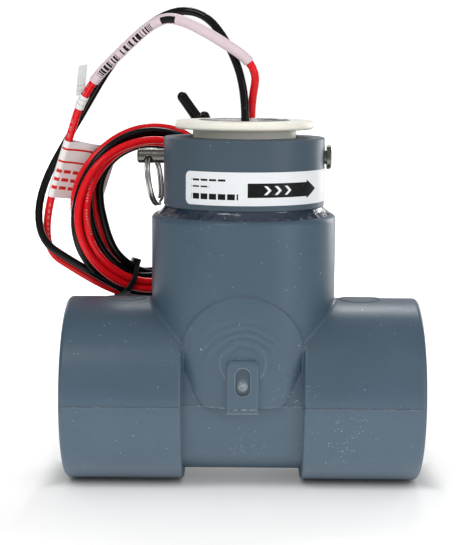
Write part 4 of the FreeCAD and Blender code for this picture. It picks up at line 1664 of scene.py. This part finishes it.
@dataclass
class Leads:
    """The red and the black lead, and what is on them.

    Attributes:
        black_route: The black lead's points from the potting to the coil, as red_route has them.
        black_end: The black lead's points from the coil to its cap.
        sleeve: Where the sleeve starts and ends along the red lead, as tag and flag have it.
        flag_yaw: The way that the large flag points, in degrees.
        sleeve_play: The room between the sleeve and the lead.
        flag_hug: How far the flag's fold stands off the lead.
        flag_gap: Half the distance between its two stuck halves.
        flag_curl: How far its end curls forward.
        flag_fold: Half the share of its length that goes round the lead.
        flag_stuck: The share of its reach from which its halves are stuck together.
        tag_lap: How many times the tag's band goes round the lead.
        tag_grow: How far the band stands off the lead at its start, and how much that grows.
        tail_corner: The lower corner of the tag's tail.
        tail_bow: How far it bows to the front.
        cap_bead: The height and the relative radius of each ring of a cap's rolled edge.
        cap_taper: The share of its height and the relative radius of each ring above.
        tie_slant: How far the strap leans round the coil, in degrees.
        head_slot: How deep the slot goes from each side.
        head_inward: How far the head stands inside the strap.
    """

    radius: float = 0.00162
    black_route: tuple[Point, ...] = (
        (0.0003, -0.0008, 0.1430), (0.0002, -0.0008, 0.1560), (-0.0057, 0.0030, 0.1726),
        (-0.0164, 0.0075, 0.1863), (-0.0319, 0.0120, 0.1863), (-0.0511, 0.0200, 0.1709),
        (-0.0693, 0.0330, 0.1420), (-0.0859, 0.0325, 0.1133), (-0.0857, 0.0285, 0.0927),
        (-0.0725, 0.0268, 0.0842), (-0.0588, 0.0275, 0.0764))
    red_route: tuple[Point, ...] = (
        (0.0027, 0.0032, 0.1430), (0.0026, 0.0032, 0.1505), (0.0053, 0.0000, 0.1651),
        (-0.0125, -0.0030, 0.1765), (-0.0253, 0.0012, 0.1829), (-0.0336, 0.0043, 0.1833),
        (-0.0448, 0.0090, 0.1746), (-0.0652, 0.0205, 0.1552), (-0.0733, 0.0290, 0.1322),
        (-0.0827, 0.0330, 0.1052), (-0.0829, 0.0335, 0.0869), (-0.0713, 0.0320, 0.0798),
        (-0.0608, 0.0312, 0.0738))
    black_end: tuple[Point, ...] = (
        (-0.0144, 0.0464, 0.1175), (-0.0136, 0.0495, 0.1295), (-0.0172, 0.0500, 0.1395),
        (-0.0235, 0.0500, 0.1475))
    red_end: tuple[Point, ...] = (
        (-0.0112, 0.0476, 0.1159), (-0.0096, 0.0522, 0.1245), (-0.0125, 0.0547, 0.1325),
        (-0.0153, 0.0553, 0.1390))
    length: float = 1.22
    sleeve: Span = (0.0245, 0.1045)
    tag: Span = (0.1120, 0.1183)
    flag: Span = (0.1333, 0.1587)
    flag_yaw: float = 29.0
    flag_reach: float = 0.0230
    sleeve_wall: float = 0.00040
    sleeve_play: float = 0.00010
    sleeve_faces: tuple[int, int] = (120, 28)
    flag_hug: float = 0.00022
    flag_gap: float = 0.00007
    flag_curl: float = 0.0016
    flag_fold: float = 0.08
    flag_stuck: float = 0.55
    flag_faces: tuple[int, int] = (100, 26)
    flag_thickness: float = 0.00009
    tag_lap: float = 1.08
    tag_grow: Span = (0.00024, 0.00016)
    tag_faces: tuple[int, int] = (60, 8)
    tag_thickness: float = 0.00010
    tail_corner: Point = (-0.0653, 0.0220, 0.1530)
    tail_side: Point = (-0.0036, 0.0012, -0.0006)
    tail_rise: Point = (0.0014, -0.0006, 0.0122)
    tail_bow: float = 0.0012
    tail_faces: tuple[int, int] = (12, 20)
    tail_thickness: float = 0.00012
    cap_radius: float = 0.00230
    cap_bead: tuple[Span, ...] = ((0.0, 1.0), (0.0003, 1.06), (0.0008, 1.06), (0.0014, 1.0))
    cap_taper: tuple[Span, ...] = ((0.35, 0.98), (0.7, 0.97))
    cap_sides: int = 36
    tie_half_width: float = 0.0012
    tie_slant: float = 3.0
    tie_thickness: float = 0.0008
    tie_faces: tuple[int, int] = (120, 3)
    head_size: Point = (0.0028, 0.0034, 0.0042)
    head_wall: float = 0.0008
    head_slot: float = 0.0009
    head_inward: float = 0.0012

    CREASE = (0.03, 40, 2)
    FLAG_TWIST = (0.4, 0.6)
    FLAG_WAVE = (0.0003, 5, 3)
    TAIL_ARC = 2.4
    DOME = (1.45, 9)
    HEAD_END = 0.48
    HEAD_SLANT = 0.4

    def build(self) -> None:
        """Builds both leads and everything on them."""
        coil = LeadCoil()
        strands = coil.strands()
        black = self.cord("black_lead_cord", (*self.black_route, *coil.places(strands[0]), *self.black_end),
                          BLACK_JACKET, "black_insulation")
        red = self.cord("red_lead_cord", (*self.red_route, *coil.places(strands[1]), *self.red_end),
                        RED_JACKET, "red_insulation")
        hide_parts("black_lead", "black_lead_end", "lead_coil")
        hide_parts("red_lead", "red_lead_end")
        black_cap = self.cap("black_lead_vinyl_cap", black, 0.0131, 0.0056, "black_lead_cap")
        red_cap = self.cap("red_lead_vinyl_cap", red, 0.0110, 0.0039, "red_lead_cap")
        line = self.line(red)
        on_red = [red_cap, self.marker_sleeve(line), self.large_flag(line), *self.small_tag(line)]
        tie = self.cable_tie(coil, strands)
        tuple(self.black_route[0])
        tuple(self.red_route[0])

    def cord(self, name: str, route: Sequence[Sequence[float]], finish: Finish, slot: str) -> Piece:
        """Adds one lead as a smooth curve.

        Args:
            name: The lead's name.
            route: Its points.
            finish: Its finish.
            slot: Its material slot.

        Returns:
            The lead.
        """
        curve = bpy.data.curves.new(name, "CURVE")
        curve.dimensions = "3D"
        spline = curve.splines.new("NURBS")
        spline.points.add(len(route) - 1)
        for point, place in zip(spline.points, route):
            point.co = (*place, 1.0)
        spline.order_u = 3
        spline.use_endpoint_u = True
        spline.resolution_u = 6
        curve.bevel_depth = self.radius
        curve.bevel_resolution = 4
        curve.use_fill_caps = True
        lead = bpy.data.objects.new(name, curve)
        bpy.context.scene.collection.objects.link(lead)
        return Bench.dress(lead, finish, TEE, slot)

    def line(self, lead: Piece) -> np.ndarray:
        """Reads the middle line of a lead from its smooth curve.

        Args:
            lead: The lead.

        Returns:
            Its points in order, one row each.
        """
        copy = bpy.data.objects.new("middle_line", lead.data.copy())
        copy.data.bevel_depth = 0.0
        bpy.context.scene.collection.objects.link(copy)
        bpy.context.view_layer.update()
        mesh = bpy.data.meshes.new_from_object(copy.evaluated_get(bpy.context.evaluated_depsgraph_get()))
        points = np.array([vertex.co for vertex in mesh.vertices])
        bpy.data.objects.remove(copy)
        bpy.data.meshes.remove(mesh)
        return points

    @staticmethod
    def at(line: np.ndarray, distance: float) -> tuple[Vector, Vector]:
        """Finds a place on a line.

        Args:
            line: The line's points.
            distance: How far along it the place is, from its end where it is negative.

        Returns:
            The place and the way that the line runs there.
        """
        nearby = 0.0004
        steps = np.linalg.norm(np.diff(line, axis=0), axis=1)
        passed = np.concatenate(([0.0], np.cumsum(steps)))
        wanted = distance if distance >= 0 else passed[-1] + distance
        behind, place, ahead = (Vector([np.interp(wanted + step, passed, column) for column in line.T])
                                for step in (-nearby, 0.0, nearby))
        return place, (ahead - behind).normalized()

    def around(self, line: np.ndarray, distance: float, turn: float, radius: float) -> Vector:
        """Finds a place round a line.

        Args:
            line: The line's points.
            distance: How far along it the place is.
            turn: How far round it the place is, from the side that faces the front.
            radius: How far from it the place is.

        Returns:
            The place.
        """
        middle, way = self.at(line, distance)
        toward = Vector((0, -1, 0))
        front = (toward - way * toward.dot(way)).normalized()
        return middle + (front * math.cos(turn) + way.cross(front) * math.sin(turn)) * radius

    def cap(self, name: str, lead: Piece, length: float, covers: float, node: str) -> Piece:
        """Adds a dipped vinyl cap over the end of a lead.

        Args:
            name: The cap's name.
            lead: The lead that it closes.
            length: The cap's length.
            covers: How much of the lead it covers.
            node: The solid that it stands for.

        Returns:
            The cap.
        """
        dome = length - self.cap_radius
        slim = self.cap_taper[-1][1]
        Bench.clear()
        bpy.ops.mesh.primitive_circle_add(vertices=self.cap_sides, radius=self.cap_radius, fill_type="NGON")
        cap = Bench.take(name)
        Bench.open(cap)
        (risen, grown), *steps = self.cap_bead
        steps += [(share * dome, grow) for share, grow in self.cap_taper]
        steps += [(dome + self.cap_radius * math.sin(turn), slim * math.cos(turn))
                  for turn in np.linspace(0, *self.DOME)]
        for rise, grow in steps:
            bpy.ops.mesh.extrude_region_move(TRANSFORM_OT_translate={"value": (0, 0, rise - risen)})
            bpy.ops.transform.resize(value=(grow / grown, grow / grown, 1))
            risen, grown = rise, grow
        Bench.shut()
        Bench.close(cap)
        foot, way = self.at(self.line(lead), -covers)
        Bench.settle(cap, Matrix.Translation(foot) @ way.to_track_quat("Z", "Y").to_matrix().to_4x4())
        Bench.dress(cap, CAP_VINYL, TEE, "cap_vinyl", smooth=70)
        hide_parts(node)
        return cap

    def marker_sleeve(self, line: np.ndarray) -> Piece:
        """Adds the printed sleeve over the arch of the red lead.

        Args:
            line: The red lead's middle line.

        Returns:
            The sleeve.
        """
        start, end = self.sleeve
        outside = self.radius + self.sleeve_play + self.sleeve_wall
        crease, along_waves, round_waves = self.CREASE

        def place(along: float, share: float) -> Vector:
            """Gives a point of the sleeve.

            Args:
                along: The share of its length.
                share: The share of the way round it.

            Returns:
                The point.
            """
            uneven = noise.noise(Vector((along * along_waves, share * round_waves, 3)))
            turn = (share - 0.5) * math.tau
            return self.around(line, start + along * (end - start), turn, outside * (1 + crease * uneven))

        sleeve = Bench.sheet("marker_sleeve_printed", *self.sleeve_faces, place)
        Bench.close(sleeve)
        Bench.modify(sleeve, "SOLIDIFY", thickness=self.sleeve_wall, offset=-1.0)
        Bench.dress(sleeve, SLEEVE_FILM, TEE, "sleeve_pink", smooth=60)
        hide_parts("marker_sleeve")
        return sleeve

    def large_flag(self, line: np.ndarray) -> Piece:
        """Adds the large label, folded round the red lead and stuck to itself as a flag.

        Args:
            line: The red lead's middle line.

        Returns:
            The label.
        """
        start, end = self.flag
        side = heading(math.radians(self.flag_yaw))
        hug = self.radius + self.flag_hug
        least, more = self.FLAG_TWIST
        height, out_waves, up_waves = self.FLAG_WAVE

        def place(along: float, up: float) -> Vector:
            """Gives a point of the label.

            Args:
                along: The share of the way across the fold.
                up: The share of the way up the lead.

            Returns:
                The point.
            """
            middle, way = self.at(line, end + (start - end) * up)
            out = (side - way * side.dot(way)).normalized()
            face = out.cross(way)
            off = along - 0.5
            if abs(off) < self.flag_fold:
                turn = math.pi - off / self.flag_fold * math.pi / 2
                return middle + (out * math.cos(turn) + face * math.sin(turn)) * hug
            share = (abs(off) - self.flag_fold) / (0.5 - self.flag_fold)
            open_share = (1 - min(share / self.flag_stuck, 1.0)) ** 2
            lift = self.flag_gap + (hug - self.flag_gap) * open_share
            curl = -self.flag_curl * share * share * (least + more * up)
            wave = height * math.sin(share * out_waves + up * up_waves) * share
            return middle + out * share * self.flag_reach + face * (math.copysign(lift, off) + curl + wave)

        label = Bench.sheet("large_flag_folded", *self.flag_faces, place)
        Bench.film(label, self.flag_thickness, FLAG_FILM)
        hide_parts("large_flag_label")
        return label

    def small_tag(self, line: np.ndarray) -> list[Piece]:
        """Adds the small tag: a band round the red lead and the clear tail of its film.

        Args:
            line: The red lead's middle line.

        Returns:
            The band and the tail.
        """
        start, end = self.tag
        least, grow = self.tag_grow
        corner, side, rise = (Vector(part) for part in (self.tail_corner, self.tail_side, self.tail_rise))

        def band_place(along: float, up: float) -> Vector:
            """Returns a point of the band from its shares round and along the lead."""
            turn = (along - 0.5) * math.tau * self.tag_lap
            return self.around(line, start + (end - start) * up, turn, self.radius + least + grow * along)

        def tail_place(along: float, up: float) -> Vector:
            """Returns a point of the tail from its shares across and up."""
            bow = Vector((0, -self.tail_bow, 0)) * math.sin(up * self.TAIL_ARC) * along
            return corner + side * along + rise * up + bow

        band = Bench.sheet("small_tag_band", *self.tag_faces, band_place)
        Bench.film(band, self.tag_thickness, TAG_FILM)
        tail = Bench.sheet("small_tag_tail", *self.tail_faces, tail_place)
        Bench.film(tail, self.tail_thickness, TAIL_FILM)
        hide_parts("small_flag_label")
        return [band, tail]

    def cable_tie(self, coil: LeadCoil, strands: Sequence[np.ndarray]) -> list[Piece]:
        """Adds the tie that holds the coil: a strap round the strands, and its head.

        Args:
            coil: The coil.
            strands: Its two leads.

        Returns:
            The strap and the head.
        """
        loop = self.wrap(coil.section(strands, coil.tie_angle))
        middle = float(np.mean(loop[:, 0]))
        reach = float(np.ptp(loop[:, 0])) / 2

        def place(along: float, across: float) -> Vector:
            """Gives a point of the strap.

            Args:
                along: The share of the way round the strands.
                across: The share of the way across the strap.

            Returns:
                The point.
            """
            row = along * (len(loop) - 1)
            low = int(min(row, len(loop) - 2))
            out, depth = loop[low] + (loop[low + 1] - loop[low]) * (row - low)
            turn = math.degrees((across - 0.5) * 2 * self.tie_half_width / middle)
            return coil.point(coil.tie_angle + turn + self.tie_slant * (middle - out) / reach, out, depth)

        strap = Bench.sheet("cable_tie_strap", *self.tie_faces, place)
        Bench.close(strap)
        Bench.modify(strap, "SOLIDIFY", thickness=self.tie_thickness, offset=1.0)
        Bench.modify(strap, "BEVEL", width=0.00018, segments=2, limit_method="ANGLE", angle_limit=0.7)
        Bench.dress(strap, TIE_NYLON, TEE, "tie_nylon", smooth=50)
        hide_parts("cable_tie")
        return [strap, self.tie_head(coil, loop[np.argmin(loop[:, 0])])]

    def wrap(self, section: np.ndarray) -> np.ndarray:
        """Works out the line that a strap takes round a section of strands.

        Args:
            section: The radius and depth of each strand.

        Returns:
            The points of a closed line that just goes round all strands.
        """
        middle = section.mean(axis=0)
        turns = np.linspace(0, math.tau, 121)
        ways = np.column_stack((np.cos(turns), np.sin(turns)))
        support = ((section - middle) @ ways.T).max(axis=0) + self.radius
        slope = np.gradient(support, turns)
        slope[0] = slope[-1] = (slope[0] + slope[-1]) / 2
        across = np.column_stack((-np.sin(turns), np.cos(turns)))
        return middle + ways * support[:, None] + across * slope[:, None]

    def tie_head(self, coil: LeadCoil, inner: np.ndarray) -> Piece:
        """Adds the tie's locking head on the inside of the coil, with a slot from both sides.

        Args:
            coil: The coil.
            inner: The radius and depth of the strap at its inmost point.

        Returns:
            The head.
        """
        Bench.clear()
        bpy.ops.mesh.primitive_cube_add(size=1.0, scale=self.head_size)
        head = Bench.take("cable_tie_head")
        Bench.settle(head)
        for side in (-1, 1):
            Bench.open(head, "FACE", "DESELECT")
            Bench.shut()
            for face in head.data.polygons:
                face.select = face.center.z * side > self.head_size[2] * self.HEAD_END
            bpy.ops.object.mode_set(mode="EDIT")
            bpy.ops.mesh.inset(thickness=self.head_wall)
            bpy.ops.mesh.extrude_region_move(TRANSFORM_OT_translate={"value": (0, 0, -side * self.head_slot)})
            Bench.shut()
        Bench.modify(head, "BEVEL", width=0.00035, segments=3, limit_method="ANGLE", angle_limit=0.6)
        angle = coil.tie_angle + self.tie_slant * self.HEAD_SLANT
        place = coil.point(angle, inner[0] - self.head_inward, inner[1])
        out = (place - Vector(coil.centre)).normalized()
        back = coil.back()
        axes = Matrix((out, out.cross(back), back)).transposed()
        Bench.settle(head, Matrix.Translation(place) @ axes.to_4x4())
        Bench.close(head)
        return Bench.dress(head, TIE_NYLON, TEE, "tie_nylon", smooth=50)


@dataclass
class InnerWorks:
    """The pieces inside the housing and the impeller in its fork, which keep their solids."""

    finishes: tuple[tuple[str, Finish], ...] = (
        ("o_rings", SEAL_RUBBER), ("ferrite_core", FERRITE), ("coil_bobbin", NYLON),
        ("sensing_winding", WINDING), ("circuit_board", LAMINATE), ("board_components", CHIP),
        ("lead_tails", TAIL_COPPER), ("impeller_shaft", SHAFT_STEEL), ("impeller", IMPELLER_NYLON),
        ("impeller_bushes", BUSH))

    def build(self) -> None:
        """Dresses each solid."""
        for node, finish in self.finishes:
            Bench.paint(node, finish)


@dataclass
class Studio:
    """The pale floor, the soft light and the camera at the photograph's view.

    Attributes:
        pitch: How far the camera looks down, in degrees.
        yaw: How far it is turned to the right.
        focal_pixels: Its focal length in pixels of the picture.
        sensor: The size of the sensor's longer side, in millimetres.
        footprint: Half the length of the line that the object rests on.
        brightest: The way to the brightest part of the surround.
        aim: The height that the soft boxes point at.
        boxes: The name, the place, the width and height, and the power of each soft box.
    """

    eye: Point = (-0.0018247, -0.552136, 0.162761)
    pitch: float = 8.190
    yaw: float = -0.0927
    roll: float = 0.4169
    focal_pixels: float = 1396.83
    picture_height: int = 545
    sensor: float = 36.0
    floor_size: float = 8.0
    footprint: float = 0.072
    brightest: Point = (0.08, -0.76, 0.64)
    aim: float = 0.08
    boxes: tuple[tuple[str, Point, Span, float], ...] = (
        ("left_soft", (-0.60, -0.55, 0.25), (0.08, 0.50), 0.15),
        ("right_soft", (0.66, -0.45, 0.22), (0.20, 0.50), 0.9),
        ("left_panel", (-0.52, 0.74, 0.24), (0.20, 0.50), 0.7),
        ("right_panel", (0.58, 0.69, 0.20), (0.35, 0.50), 2.0),
        ("key_box", (-0.45, -0.80, 1.05), (0.35, 0.35), 2.4),
        ("rim_box", (0.10, 0.75, 0.95), (0.50, 0.16), 3.6))

    CLEAR = (0.008, 0.023)
    CLEAR_GLOW = 0.34
    NEAR = (0.02, 0.10, 0.0, 0.12)
    WAIST = (0.0255, 0.0225, 0.0, 0.16)
    WAIST_LINE = 0.012
    WAIST_FADE = (0.034, 0.018)
    BESIDE = (-0.002, 0.012, 0.0, 0.42)
    FAR = (0.08, 0.6, 0.0, 0.6)
    BOUNCE_LINE = -0.14
    BOUNCE = (0.18, 0.06, 0.1, 1.1)
    BOUNCE_SIDE = (0.15, 0.45, 1.0, 0.1)
    SURROUND = (-0.15, 1.0, 0.06, 1.08)
    BACKDROP = (0.35, 1.0, 0.0, 0.55)
    MIRRORED = -0.55
    SEEN = 1.05

    def build(self) -> None:
        """Sets up the camera, the floor and the light."""
        self.camera()
        self.floor()
        self.surround()
        self.soft_boxes()

    def camera(self) -> None:
        """Adds the camera where the photograph was taken from."""
        pitch, yaw, roll = (math.radians(angle) for angle in (self.pitch, self.yaw, self.roll))
        ahead = Vector((math.sin(yaw) * math.cos(pitch), math.cos(yaw) * math.cos(pitch), -math.sin(pitch)))
        level = Vector((math.cos(yaw), -math.sin(yaw), 0))
        upward = level.cross(ahead)
        right = level * math.cos(roll) + upward * math.sin(roll)
        up = upward * math.cos(roll) - level * math.sin(roll)
        Bench.clear()
        bpy.ops.object.camera_add(location=self.eye)
        camera = Bench.take("photo_camera")
        turn = Matrix((right, up, -ahead)).transposed()
        camera.matrix_world = Matrix.Translation(self.eye) @ turn.to_4x4()
        camera.data.sensor_width = self.sensor
        camera.data.lens = self.focal_pixels / self.picture_height * self.sensor
        camera.data.clip_start = 0.01
        bpy.context.scene.camera = camera

    def floor(self) -> None:
        """Adds the pale floor, which glows to the camera and throws light up in front."""
        Bench.clear()
        bpy.ops.mesh.primitive_plane_add(size=self.floor_size, location=(0, 0, 0))
        floor = Bench.take("studio_floor")
        paper = MouldedPlastic("floor_paper", (0.68, 0.68, 0.68), 0.8, tone=0.01, drift_scale=3.0,
                               grain=0.00001)
        floor.data.materials.append(paper.material())
        tree = MaterialTree(paper.material())
        sideways, depth, _ = tree.axes(tree.place)
        across = tree.math("ABSOLUTE", sideways)
        off_side = tree.math("SUBTRACT", across, self.footprint)
        off_line = tree.math("ABSOLUTE", depth)
        # The glow is painted light: none close to the line the object rests on, so its contact shadow stays
        # dark, and extra glow beside the hubs and under the waist lifts their shade.
        clear = tree.ramp(off_line, *self.CLEAR)
        near = tree.math("MULTIPLY_ADD", clear, self.CLEAR_GLOW, tree.ramp(off_line, *self.NEAR))
        behind = tree.ramp(tree.off(depth, self.WAIST_LINE), *self.WAIST_FADE)
        waist = tree.times(tree.ramp(across, *self.WAIST), behind)
        beside = tree.either(tree.ramp(off_side, *self.BESIDE), tree.math("ADD", near, waist))
        glow = tree.math("ADD", beside, tree.ramp(tree.either(off_side, off_line), *self.FAR))
        # Painted light: glow that only the light sees, which lights the undersides of the hubs from the floor
        # in front.
        bounce = tree.times(tree.ramp(tree.off(depth, self.BOUNCE_LINE), *self.BOUNCE),
                            tree.ramp(across, *self.BOUNCE_SIDE), clear)
        seen = tree.add("LightPath").outputs["Is Camera Ray"]
        strength = tree.math("MULTIPLY_ADD", seen, tree.math("SUBTRACT", glow, bounce), bounce)
        tree.look({"Emission Color": WHITE, "Emission Strength": strength})

    def surround(self) -> None:
        """Adds a surround that is white to the camera and dim to the object."""
        bpy.context.scene.view_settings.view_transform = "Standard"
        world = bpy.data.worlds.new("white_tent")
        world.use_nodes = True
        tree = ShaderTree(world.node_tree)
        way = tree.add("TexCoord").outputs["Generated"]
        around = tree.ramp(tree.dot(way, self.brightest), *self.SURROUND)
        path = tree.add("LightPath")
        mirrored = tree.math("MULTIPLY_ADD", path.outputs["Is Glossy Ray"], self.MIRRORED, 1.0)
        behind = tree.ramp(tree.axes(way)[1], *self.BACKDROP)
        around = tree.math("MULTIPLY_ADD", around, mirrored, behind)
        strength = tree.either(around, tree.times(path.outputs["Is Camera Ray"], self.SEEN))
        tree.fill(tree.nodes["Background"], {"Strength": strength, "Color": WHITE})
        bpy.context.scene.world = world

    def soft_boxes(self) -> None:
        """Adds the soft boxes, each turned to the object."""
        for name, place, size, watts in self.boxes:
            Bench.clear()
            bpy.ops.object.light_add(type="AREA", location=place)
            box = Bench.take(name)
            box.data.shape = "RECTANGLE"
            box.data.size, box.data.size_y = size
            box.data.energy = watts
            box.visible_camera = False
            box.rotation_euler = (UP * self.aim - Vector(place)).to_track_quat("-Z", "Y").to_euler()


def main() -> None:
    """Builds every sub-assembly in order."""
    logging.basicConfig(level=logging.INFO, format="%(name)s: %(message)s")
    for assembly in (TeeFitting(), SensorInsert(), PinAndRing(), Leads(), InnerWorks(), Studio()):
        LOG.info("building %s", type(assembly).__name__)
        assembly.build()


if __name__ == "__main__":
    main()
